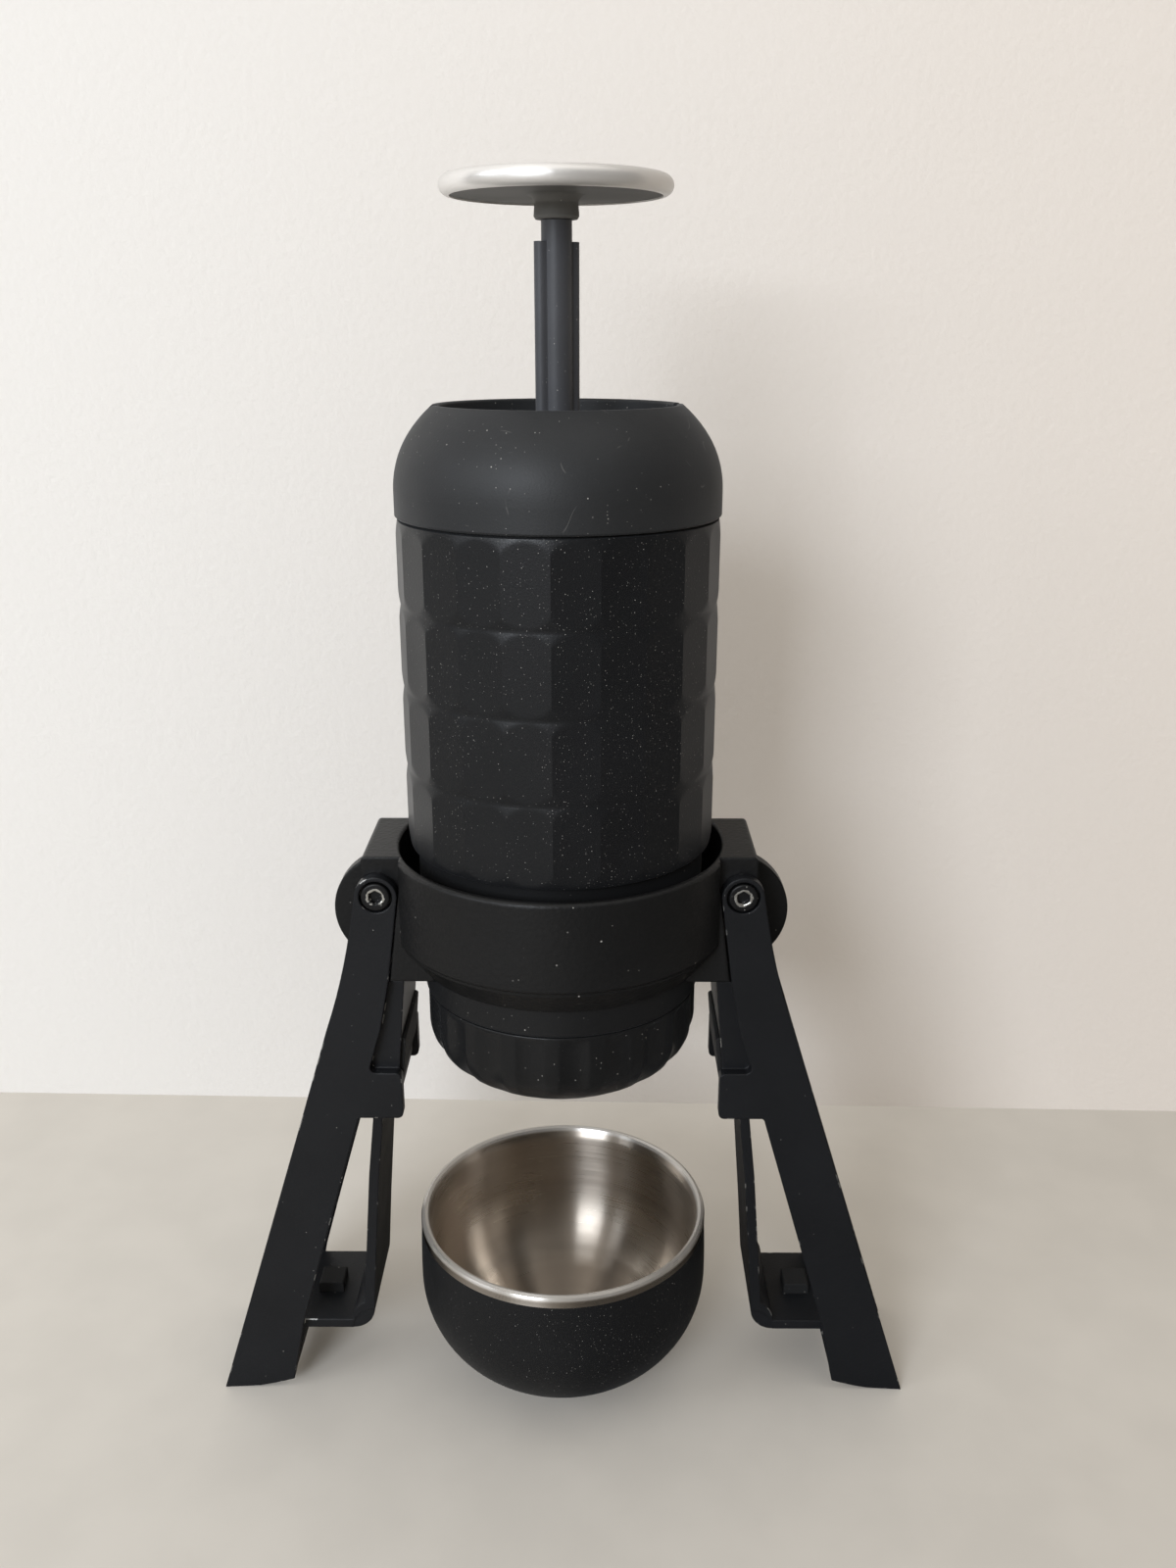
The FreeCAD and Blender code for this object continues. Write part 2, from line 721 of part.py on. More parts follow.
def filter_basket():
    """Pressed steel basket for the ground coffee, tapered and pierced below."""
    rim = chamber_radius - 0.3
    rim_bottom = basket_rim_top - 0.9
    outer = chamber_radius - 2.4
    foot = outer - 1.4
    body = revolve("filter_basket", [
        (0, basket_floor), (foot - 1.2, basket_floor), (foot, basket_floor + 1.2, 1.2),
        (outer, rim_bottom), (rim, rim_bottom), (rim, basket_rim_top), (outer - 0.7, basket_rim_top),
        (foot - 0.8, basket_floor + 1.4), (foot - 1.4, basket_floor + 0.8, -0.7),
        (0, basket_floor + 0.8)])
    ring_of_holes(body, hole_ring_pitch * 0.9, 0.8, 6, basket_floor)
    ring_of_holes(body, hole_ring_pitch * 2.0, 0.8, 12, basket_floor)
    return body


def cap_bowl(label, inset, bottom, top):
    """Solid bowl of the cap's outer form, pulled in by an inset."""
    radius = cap_radius - inset
    return revolve(label, [
        (0, bottom), (cap_base_radius, bottom), (radius, cap_curve_top, cap_curve_radius - inset),
        (radius, top), (0, top)])


def outlet_cap():
    """Screw cap under the basket: a bowl with twenty flutes and a coffee outlet."""
    bowl = cap_bowl("cap_bowl", Size(0.0), cap_bottom, cap_top)
    wall = 2.2
    inner_top = cap_curve_top
    holder_outer = chamber_radius - 0.4
    groove(bowl, [
        (0, cap_bottom + wall), (cap_base_radius - 1.0, cap_bottom + wall),
        (skirt_radius + 0.3, inner_top, cap_curve_radius - wall), (skirt_radius + 0.3, cap_top + 1.0),
        (0, cap_top + 1.0)])
    holder = [(holder_outer - 1.6, 98.0), (holder_outer, 98.0), (holder_outer, basket_rim_top - 0.9),
              (holder_outer - 1.6, basket_rim_top - 0.9)]
    sketch = new_sketch(bowl, "XZ_Plane", [holder])
    tube = bowl.newObject("PartDesign::Revolution", "cap_bowl_holder")
    tube.Profile = sketch
    tube.ReferenceAxis = (sketch, ["V_Axis"])
    tube.Angle = FULL_TURN
    bowl.Tip = tube
    drain = new_sketch(bowl, "XY_Plane", circles=[(0.0, 0.0, 4.2)], offset=cap_bottom + wall + 1.0)
    pocket(bowl, drain, Size(wall + 2.0))
    doc.recompute()
    flutes = flute_cutters()
    return cut_of("outlet_cap", bowl, flutes)


def flute_cutters():
    """Twenty round-bottomed slots, each only as deep as the flute."""
    outer = cap_bowl("flute_outer", Size(-0.6), cap_bottom + 1.2, cap_top + 1.0)
    core = cap_bowl("flute_core", flute_depth, cap_bottom + 0.6, cap_top + 2.0)
    band = cut_of("flute_band", outer, core)
    half = flute_width / 2
    corner = Size(2.2)
    low = cap_bottom + 2.0
    blade = new_body("flute_blade")
    outline = [(-half, cap_top - 1.6), (-half, low + corner), (corner - half, low, corner),
               (half - corner, low), (half, low + corner, corner), (half, cap_top - 1.6),
               (half - 0.8, cap_top - 0.8, 0.8), (0.8 - half, cap_top - 0.8)]
    sketch = new_sketch(blade, "XZ_Plane", [outline], offset=23.0)
    pad(blade, sketch, cap_radius - 20.0)
    blades = polar_copies("flute_blades", blade, flute_count, flute_phase)
    cutters = doc.addObject("Part::Common", "flute_cutters")
    cutters.Base = band
    cutters.Tool = blades
    return cutters


def spout_insert():
    """Outlet nozzle pressed into the cap's floor."""
    top = cap_bottom + 4.0
    return revolve("spout_insert", [
        (1.8, cap_bottom), (2.4, cap_bottom - 0.8), (4.15, cap_bottom - 0.8),
        (4.15, cap_bottom + 2.2), (5.6, cap_bottom + 2.2), (5.6, top - 0.6), (5.0, top),
        (1.8, top)])


# ---------------------------------------------------------------- stand
def leg_side_edge(side):
    """Edge of the cheek that the leg's plate rests close to, from the bottom up."""
    return [(side * 41.9, ear_bottom), (side * cheek_outer, pivot_z + 2.5),
            (side * cheek_outer, ring_top)]


def round_web_outline(side):
    """Outer part of a disc, cut flat level with the ear's bottom to let the leg's web pass."""
    inner = 36.0
    flat = ear_bottom - stop_z
    reach = Size(math.sqrt(stop_radius * stop_radius - flat * flat),
                 f"sqrt({(stop_radius * stop_radius - flat * flat).formula})")
    return [(side * inner, stop_z + stop_radius), (side * inner, ear_bottom),
            (side * (stop_x + reach), ear_bottom),
            (side * (stop_x + stop_radius), stop_z, stop_radius * side),
            (side * stop_x, stop_z + stop_radius, stop_radius * side)]


def stand_ring():
    """Ring that holds the brewer, with an ear, a hinge knuckle and a round web on each side."""
    body = revolve("stand_ring", [
        (0, ring_lip_bottom), (ring_lip_radius, ring_lip_bottom), (ring_radius - 0.9, ring_step - 0.6),
        (ring_radius - 0.9, ring_step), (ring_radius, ring_step + 0.9), (ring_radius, ring_top - 0.6),
        (ring_radius - 0.6, ring_top), (0, ring_top)])
    half_plate = plate_inner + plate_thickness
    for side in (-1, 1):
        cheek = [(side * 30.0, ring_top), (side * 30.0, ear_bottom)]
        cheek += leg_side_edge(side)
        pad(body, new_sketch(body, "XZ_Plane", [cheek]), half_plate * 2, centred=True)
        corner = Size(1.2)
        knuckle = [(side * 36.0, ring_top), (side * 36.0, knuckle_bottom),
                   (side * ear_outer, knuckle_bottom), (side * ear_outer, ring_top - corner),
                   (side * (ear_outer - corner), ring_top, corner * side)]
        pad(body, new_sketch(body, "XZ_Plane", [knuckle]), knuckle_half * 2, centred=True)
        pad(body, new_sketch(body, "XZ_Plane", [round_web_outline(side)]), stop_thickness, centred=True)
    groove(body, [
        (0, ear_bottom - 1.0), (ring_lip_bore, ear_bottom - 1.0), (ring_lip_bore, seat_height - 0.6),
        (ring_lip_bore + 0.6, seat_height), (ring_bore, seat_height), (ring_bore, ring_top - 0.5),
        (ring_bore + 0.5, ring_top), (ear_outer + 8.0, ring_top), (ear_outer + 8.0, ring_top + 3.0),
        (0, ring_top + 3.0)])
    for side in (-1, 1):
        outside = side * (stop_x + 2 * stop_radius)
        room = leg_side_edge(side) + [(outside, ring_top), (outside, ear_bottom)]
        for front in (True, False):
            offset = knuckle_half if front else -knuckle_half
            sketch = new_sketch(body, "XZ_Plane", [room], offset=offset)
            pocket(body, sketch, plate_thickness + 1.0, backwards=front)
        hole = new_sketch(body, "XZ_Plane", circles=[(side * pivot_x, pivot_z, barrel_radius + 0.02)])
        pocket(body, hole, half_plate * 2 + 4.0, centred=True)
    return body


def leg_plate_outline():
    """Side plate of the left leg: hinge head, notch, bridge, slanting beam and foot."""
    return [
        (-pivot_x + head_radius, pivot_z),
        (-pivot_x - head_radius, pivot_z, head_radius * 1.0001),
        (-51.4, 138.5), (-58.6, 111.5, -180.0), (-67.4, 83.1), (-foot_reach, 0.0),
        (-83.9, 0.6), (-74.2, 3.0, 80.0), (-70.5, 21.5), (-66.0, 37.6), (-52.4, 84.7),
        (-51.6, 86.0, -1.4), (-41.9, 86.0), (-40.4, 87.5, 1.5), (-40.4, 97.5),
        (-41.9, 99.0, 1.5), (-46.9, 99.0), (-48.3, 100.9, -1.6), (-45.1, 111.6), (-42.5, 125.0)]


WEB_FACE_TOP = (-39.0, 123.6)
WEB_FACE_BOTTOM = (-41.9, 91.0)


def web_outline():
    """Section of the web: a thick block under the hinge, then a strut, shelf and toe."""
    return [
        WEB_FACE_TOP, (-44.0, 123.6), (-49.6, 100.0), (-49.6, 90.0), (-48.7, 84.7),
        (-50.7, 66.9), (-52.7, 42.3), (-54.0, 26.3), (-57.4, 20.6, 5.6), (-71.4, 20.6),
        (-76.6, 2.4), (-74.4, 2.9), (-70.6, 18.0), (-57.4, 18.0), (-51.4, 24.0, -6.0),
        (-50.1, 42.3), (-48.1, 66.9), (-46.4, 82.0), (-43.4, 86.8, -4.0), (*WEB_FACE_BOTTOM, 3.5)]


def left_leg():
    """Folding leg: a channel with two side plates, joined by a web that ends in a shelf."""
    body = new_body("left_leg")
    pad(body, new_sketch(body, "XZ_Plane", [web_outline()]), plate_inner * 2 + 0.4, centred=True)
    core = [(-41.2, 121.0), (-45.6, 121.0), (-50.4, 100.6), (-50.4, 91.0), (-44.4, 91.0),
            (-43.6, 99.0)]
    pocket(body, new_sketch(body, "XZ_Plane", [core]), plate_inner * 2 - 4.8, centred=True)
    plate = new_sketch(body, "XZ_Plane", [leg_plate_outline()],
                       circles=[(-pivot_x, pivot_z, shank_radius + slide_gap)], offset=plate_inner)
    side = pad(body, plate, plate_thickness)
    bore = new_sketch(body, "XZ_Plane", circles=[(-pivot_x, pivot_z, counterbore_radius)],
                      offset=plate_inner + plate_thickness)
    seat = pocket(body, bore, counterbore_depth)
    both = body.newObject("PartDesign::Mirrored", "left_leg_sides")
    both.Originals = [side, seat]
    both.MirrorPlane = (origin_plane(body, "XZ_Plane"), [""])
    body.Tip = both
    return body


def leg_pad():
    """Rubber pad on the inner face of the leg."""
    face_top, face_bottom = Vector(*WEB_FACE_TOP, 0), Vector(*WEB_FACE_BOTTOM, 0)
    along = (face_bottom - face_top).normalize()
    outward = Vector(-along.y, along.x, 0)
    rounding = pad_thickness * 0.8
    upper, lower = face_top + along * 16.6, face_top + along * 28.6
    rise = outward * pad_thickness
    low_side = lower + outward * (pad_thickness - rounding)
    high_side = upper + outward * (pad_thickness - rounding)
    low_face, high_face = lower + rise - along * rounding, upper + rise + along * rounding
    body = new_body("left_leg_pad")
    outline = [(lower.x, lower.y), (low_side.x, low_side.y), (low_face.x, low_face.y, rounding),
               (high_face.x, high_face.y), (high_side.x, high_side.y, rounding), (upper.x, upper.y)]
    pad(body, new_sketch(body, "XZ_Plane", [outline]), Size(26.0), centred=True)
    return body


def shelf_block():
    """Small square block on the leg's shelf."""
    body = new_body("left_shelf_block")
    outline = [(-68.8, 20.6), (-61.9, 20.6), (-61.9, 23.2), (-62.5, 23.8, 0.6), (-68.2, 23.8),
               (-68.8, 23.2, 0.6)]
    pad(body, new_sketch(body, "XZ_Plane", [outline]), Size(7.0), centred=True)
    return body


def pivot_barrel():
    """Steel sleeve through the knuckle, threaded for a screw at each end."""
    body = new_body("left_pivot_barrel")
    circles = [(-pivot_x, pivot_z, barrel_radius), (-pivot_x, pivot_z, shank_radius + 0.02)]
    pad(body, new_sketch(body, "XZ_Plane", circles=circles), knuckle_half * 2, centred=True)
    return body


def pivot_screws():
    """Socket-head screws that pin the leg's two plates to the knuckle."""
    screw = new_body("pivot_screw_source")
    head_seat = plate_inner + plate_thickness - counterbore_depth + clear_gap
    head = new_sketch(screw, "XZ_Plane", circles=[(-pivot_x, pivot_z, screw_head_radius)],
                      offset=head_seat)
    pad(screw, head, screw_head_height)
    shank = new_sketch(screw, "XZ_Plane", circles=[(-pivot_x, pivot_z, shank_radius)],
                       offset=head_seat)
    pad(screw, shank, head_seat - 5.0, backwards=True)
    corner = hex_key / math.sqrt(3.0)
    hexagon = []
    for index in range(6):
        angle = math.radians(60.0 * index)
        hexagon.append((-pivot_x + corner * math.cos(angle), pivot_z + corner * math.sin(angle)))
    socket = new_sketch(screw, "XZ_Plane", [hexagon], offset=head_seat + screw_head_height)
    pocket(screw, socket, Size(1.3))
    doc.recompute()
    return group("left_pivot_screws", [screw.Shape, screw.Shape.mirror(Vector(), Y_AXIS)])


# ---------------------------------------------------------------- cup
def cup_shell():
    """Black outer bowl of the double-wall cup."""
    wall = cup_wall - 0.6
    body = revolve("cup_shell", [
        (0, 0), (cup_base_radius, 0), (cup_base_radius + 1.3, 0.8, 1.6), (30.0, 10.5, 113.0),
        (cup_radius, cup_shoulder, 27.5), (cup_rim_radius - 0.1, cup_lip, 260.0),
        (cup_rim_radius - wall, cup_lip), (cup_radius - wall, cup_shoulder, -260.0),
        (29.2, 11.8, -26.1), (cup_base_radius, 2.0, -111.6), (0, 2.0)])
    bind(body, ".Placement.Base.y", cup_y)
    return body


def cup_liner():
    """Spun steel liner of the cup with its rolled rim."""
    rim_round = Size(1.05)
    inner = cup_rim_radius - rim_round * 2
    body = revolve("cup_liner", [
        (0, 3.0), (17.4, 3.0), (27.8, 12.2, 60.0), (inner, cup_shoulder, 26.0), (inner, cup_lip),
        (cup_rim_radius, cup_lip), (cup_rim_radius, cup_height - rim_round),
        (inner, cup_height - rim_round, rim_round * 1.0001), (inner - 0.7, cup_lip),
        (inner - 0.7, cup_shoulder), (27.2, 12.8, -25.0), (17.0, 3.8, -59.0), (0, 3.8)])
    bind(body, ".Placement.Base.y", cup_y)
    return body


# ---------------------------------------------------------------- assembly and export
def build_all():
    """Builds every piece and returns the objects that become files."""
    leg, rubber, block, barrel, screws = (
        left_leg(), leg_pad(), shelf_block(), pivot_barrel(), pivot_screws())
    pieces = [
        knob_cap(), knob_base(), plunger_stem(), piston(), piston_seals(), piston_screw(),
        dome_cover(), stem_bush(), pump_cylinder(), cylinder_screws(), inlet_flap(), cover_seal(),
        body_shell(), tank_liner(), brew_head(), valve_seat(), valve_ball(), valve_spring(),
        shower_screen(), basket_gasket(), filter_basket(), outlet_cap(), spout_insert(),
        stand_ring(), leg, rubber, block, barrel, screws,
        mirrored("right_leg", leg), mirrored("right_leg_pad", rubber),
        mirrored("right_shelf_block", block), mirrored("right_pivot_barrel", barrel),
        mirrored("right_pivot_screws", screws), cup_shell(), cup_liner()]
    doc.recompute()
    return pieces


def check_all(pieces):
    """Stops the run if any object failed or any piece is empty or invalid."""
    for thing in doc.Objects:
        if "Invalid" in thing.State or "Error" in thing.State:
            raise RuntimeError(f"{thing.Label} failed: {thing.State}")
    for piece in pieces:
        shape = piece.Shape
        if shape.isNull() or not shape.isValid() or not shape.Solids:
            raise RuntimeError(f"{piece.Label} has no valid solid")


def export_all(pieces):
    """Writes one STEP file for each piece."""
    os.makedirs("parts", exist_ok=True)
    for piece in pieces:
        piece.Shape.exportStep(os.path.join("parts", f"{piece.Label}.step"))
        print(f"{piece.Label:22s} solids {len(piece.Shape.Solids)}  volume {piece.Shape.Volume:10.1f}")


all_pieces = build_all()
check_all(all_pieces)
export_all(all_pieces)
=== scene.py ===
"""Looks of a handheld manual espresso maker on its folding stand, with its steel-lined cup.

Metres, +Z up, front towards -Y, origin on the table under the brewer's axis.
"""

import logging
import math
from dataclasses import dataclass
from enum import Enum
from typing import Callable, Iterable, Sequence

import bmesh
import bpy
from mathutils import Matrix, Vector


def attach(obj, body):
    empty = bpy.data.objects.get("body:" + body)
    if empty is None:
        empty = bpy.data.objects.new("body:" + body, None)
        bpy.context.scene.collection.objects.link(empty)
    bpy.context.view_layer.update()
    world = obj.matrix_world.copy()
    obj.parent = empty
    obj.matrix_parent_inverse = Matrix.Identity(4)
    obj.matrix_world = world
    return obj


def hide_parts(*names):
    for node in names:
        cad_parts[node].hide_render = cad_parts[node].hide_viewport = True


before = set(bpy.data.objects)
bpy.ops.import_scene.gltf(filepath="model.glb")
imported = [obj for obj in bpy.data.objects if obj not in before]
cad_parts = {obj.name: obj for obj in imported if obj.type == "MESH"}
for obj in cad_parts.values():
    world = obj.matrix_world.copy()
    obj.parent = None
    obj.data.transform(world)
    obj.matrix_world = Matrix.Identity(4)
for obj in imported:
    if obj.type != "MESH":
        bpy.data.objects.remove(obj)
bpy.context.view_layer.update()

MM = 0.001
FEWEST_ARC_STEPS = 4
LOG = logging.getLogger("espresso_maker")

Colour = tuple[float, float, float]
Place = tuple[float, float, float]
Point = tuple[float, float]
Vertex = tuple[float, ...]
Span = tuple[float, float]
Socket = bpy.types.NodeSocket

FLOAT = "NodeSocketFloat"
INT = "NodeSocketInt"
VECTOR = "NodeSocketVector"


# ---------------------------------------------------------------- node helpers
class Graph:
    """Adds and links the nodes of one tree, for shaders and geometry alike.

    A Mix node has sockets for every kind of value. The two constants give the places of the
    two inputs and of the output for colours and for numbers.
    """

    COLOUR_SOCKETS, NUMBER_SOCKETS = (6, 7, 2), (2, 3, 0)

    def __init__(self, tree: bpy.types.NodeTree) -> None:
        """Keeps the tree and empties it.

        Args:
            tree: the node tree to fill.
        """
        self.tree = tree
        tree.nodes.clear()

    def add(self, kind: str, **settings: object) -> bpy.types.Node:
        """Adds one node.

        Args:
            kind: the node's type name.
            settings: properties set on the node.

        Returns:
            The new node.
        """
        node = self.tree.nodes.new(kind)
        for name, value in settings.items():
            setattr(node, name, value)
        return node

    def feed(self, socket: Socket, value: object) -> None:
        """Links a socket to an input, or sets the input to a plain value.

        Args:
            socket: the input to fill.
            value: an output socket, a number, a vector or a material.
        """
        if isinstance(value, bpy.types.NodeSocket):
            self.tree.links.new(value, socket)
        elif value is not None:
            socket.default_value = value

    def call(self, kind: str, inputs: dict[str, object], **settings: object) -> bpy.types.Node:
        """Adds a node and fills its inputs by name.

        Args:
            kind: the node's type name.
            inputs: values or sockets by input name.
            settings: properties set on the node.

        Returns:
            The new node.
        """
        node = self.add(kind, **settings)
        for name, value in inputs.items():
            self.feed(node.inputs[name], value)
        return node

    def operate(self, kind: str, operation: str, *values: object) -> bpy.types.Node:
        """Adds a node that has an operation and fills its inputs in order.

        Args:
            kind: the node's type name.
            operation: the node's operation.
            values: its inputs in order.

        Returns:
            The new node.
        """
        node = self.add(kind, operation=operation)
        for socket, value in zip(node.inputs, values):
            self.feed(socket, value)
        return node

    def math(self, operation: str, *values: object) -> Socket:
        """One Math node.

        Args:
            operation: the node's operation.
            values: its inputs in order.

        Returns:
            The result socket.
        """
        return self.operate("ShaderNodeMath", operation, *values).outputs[0]

    def vector(self, operation: str, *values: object) -> bpy.types.Node:
        """One Vector Math node.

        Args:
            operation: the node's operation.
            values: its inputs in order.

        Returns:
            The node: some operations give a vector, others a number.
        """
        return self.operate("ShaderNodeVectorMath", operation, *values)

    def product(self, *values: object) -> Socket:
        """Multiplies two or more numbers.

        Args:
            values: numbers or sockets.

        Returns:
            The product.
        """
        total, *others = values
        for value in others:
            total = self.math("MULTIPLY", total, value)
        return total

    def squares(self, first: object, second: object) -> Socket:
        """Adds the squares of two numbers.

        Args:
            first: a number or socket.
            second: a number or socket.

        Returns:
            The sum.
        """
        return self.math("ADD", self.math("POWER", first, 2.0), self.math("POWER", second, 2.0))

    def on_object(self) -> Socket:
        """Coordinates on the piece itself, in metres."""
        return self.add("ShaderNodeTexCoord").outputs["Object"]

    def split(self, vector: Socket) -> Sequence[Socket]:
        """The three numbers of a vector."""
        return self.call("ShaderNodeSeparateXYZ", {"Vector": vector}).outputs

    def join(self, x: object, y: object, z: object) -> Socket:
        """A vector made of three numbers."""
        return self.call("ShaderNodeCombineXYZ", {"X": x, "Y": y, "Z": z}).outputs[0]

    def _mix(self, kind: str, sockets: tuple[int, int, int], factor: object, first: object,
             second: object) -> Socket:
        """One Mix node.

        Args:
            kind: RGBA or FLOAT.
            sockets: places of the two inputs and of the output on the node.
            factor: 0 gives the first value and 1 the second.
            first: a value or socket.
            second: a value or socket.

        Returns:
            The mixed value.
        """
        node = self.add("ShaderNodeMix", data_type=kind)
        from_first, from_second, result = sockets
        self.feed(node.inputs[0], factor)
        self.feed(node.inputs[from_first], first)
        self.feed(node.inputs[from_second], second)
        return node.outputs[result]

    def blend(self, factor: object, first: object, second: object) -> Socket:
        """Mixes two colours.

        Args:
            factor: 0 gives the first colour and 1 the second.
            first: a colour or socket.
            second: a colour or socket.

        Returns:
            The mixed colour.
        """
        return self._mix("RGBA", self.COLOUR_SOCKETS, factor, opaque(first), opaque(second))

    def between(self, factor: object, low: object, high: object) -> Socket:
        """Mixes two numbers.

        Args:
            factor: 0 gives low and 1 gives high.
            low: a number or socket.
            high: a number or socket.

        Returns:
            The mixed number.
        """
        return self._mix("FLOAT", self.NUMBER_SOCKETS, factor, low, high)

    def step(self, value: object, low: object, high: object) -> Socket:
        """A smooth step that goes from 0 at low to 1 at high.

        Args:
            value: the number to test.
            low: where the step starts.
            high: where it ends.

        Returns:
            The step from 0 to 1.
        """
        inputs = {"Value": value, "From Min": low, "From Max": high}
        node = self.call("ShaderNodeMapRange", inputs, interpolation_type="SMOOTHSTEP")
        return node.outputs[0]

    def noise(self, where: object, scale: object, detail: float = 2.0) -> Socket:
        """Noise from 0 to 1.

        Args:
            where: coordinates.
            scale: cells per metre.
            detail: octaves.

        Returns:
            The noise value.
        """
        inputs = {"Vector": where, "Scale": scale, "Detail": detail}
        return self.call("ShaderNodeTexNoise", inputs).outputs[0]

    def bump(self, shader: bpy.types.Node, distance: float, height: Socket,
             normal: Socket | None = None, strength: float = 1.0) -> None:
        """Gives a shader a relief.

        Args:
            shader: the shader whose Normal is fed.
            distance: the relief's depth, in metres.
            height: the height from 0 to 1.
            normal: the normal under the relief, or None for the surface's own.
            strength: the relief's share.
        """
        node = self.call("ShaderNodeBump", {
            "Strength": strength, "Distance": distance, "Height": height, "Normal": normal})
        self.feed(shader.inputs["Normal"], node.outputs[0])

    def choose(self, factor: Socket, first: Socket, second: Socket) -> Socket:
        """Mixes two shaders.

        Args:
            factor: 0 gives the first shader and 1 the second.
            first: a shader.
            second: a shader.

        Returns:
            The mixed shader.
        """
        node = self.add("ShaderNodeMixShader")
        for socket, value in zip(node.inputs, (factor, first, second)):
            self.feed(socket, value)
        return node.outputs[0]


def opaque(colour: object) -> object:
    """Adds an alpha of 1 to a plain colour and leaves a socket as it is.

    Args:
        colour: three numbers or a socket.

    Returns:
        Four numbers or the socket.
    """
    return (*colour, 1.0) if isinstance(colour, tuple) and len(colour) == 3 else colour


def shade(colour: Colour, share: float) -> Colour:
    """A colour made darker or lighter by a share of itself."""
    return tuple(channel * share for channel in colour)


def add_to_scene(name: str, data: bpy.types.ID) -> bpy.types.Object:
    """Makes an object of a mesh, lamp or camera and links it to the scene.

    Args:
        name: the object's name.
        data: what the object shows.

    Returns:
        The object.
    """
    thing = bpy.data.objects.new(name, data)
    bpy.context.scene.collection.objects.link(thing)
    return thing


def new_group(name: str, kind: str, inputs: dict[str, tuple[str, object]],
              outputs: dict[str, str]) -> tuple[Graph, bpy.types.Node, bpy.types.Node]:
    """A node group with named sockets.

    Args:
        name: the group's name.
        kind: ShaderNodeTree or GeometryNodeTree.
        inputs: socket type and default by input name.
        outputs: socket type by output name.

    Returns:
        The graph, its input node and its output node.
    """
    tree = bpy.data.node_groups.new(name, kind)
    for label, (socket_type, default) in inputs.items():
        item = tree.interface.new_socket(name=label, in_out="INPUT", socket_type=socket_type)
        if default is not None:
            item.default_value = default
    for label, socket_type in outputs.items():
        tree.interface.new_socket(name=label, in_out="OUTPUT", socket_type=socket_type)
    graph = Graph(tree)
    return graph, graph.add("NodeGroupInput"), graph.add("NodeGroupOutput")


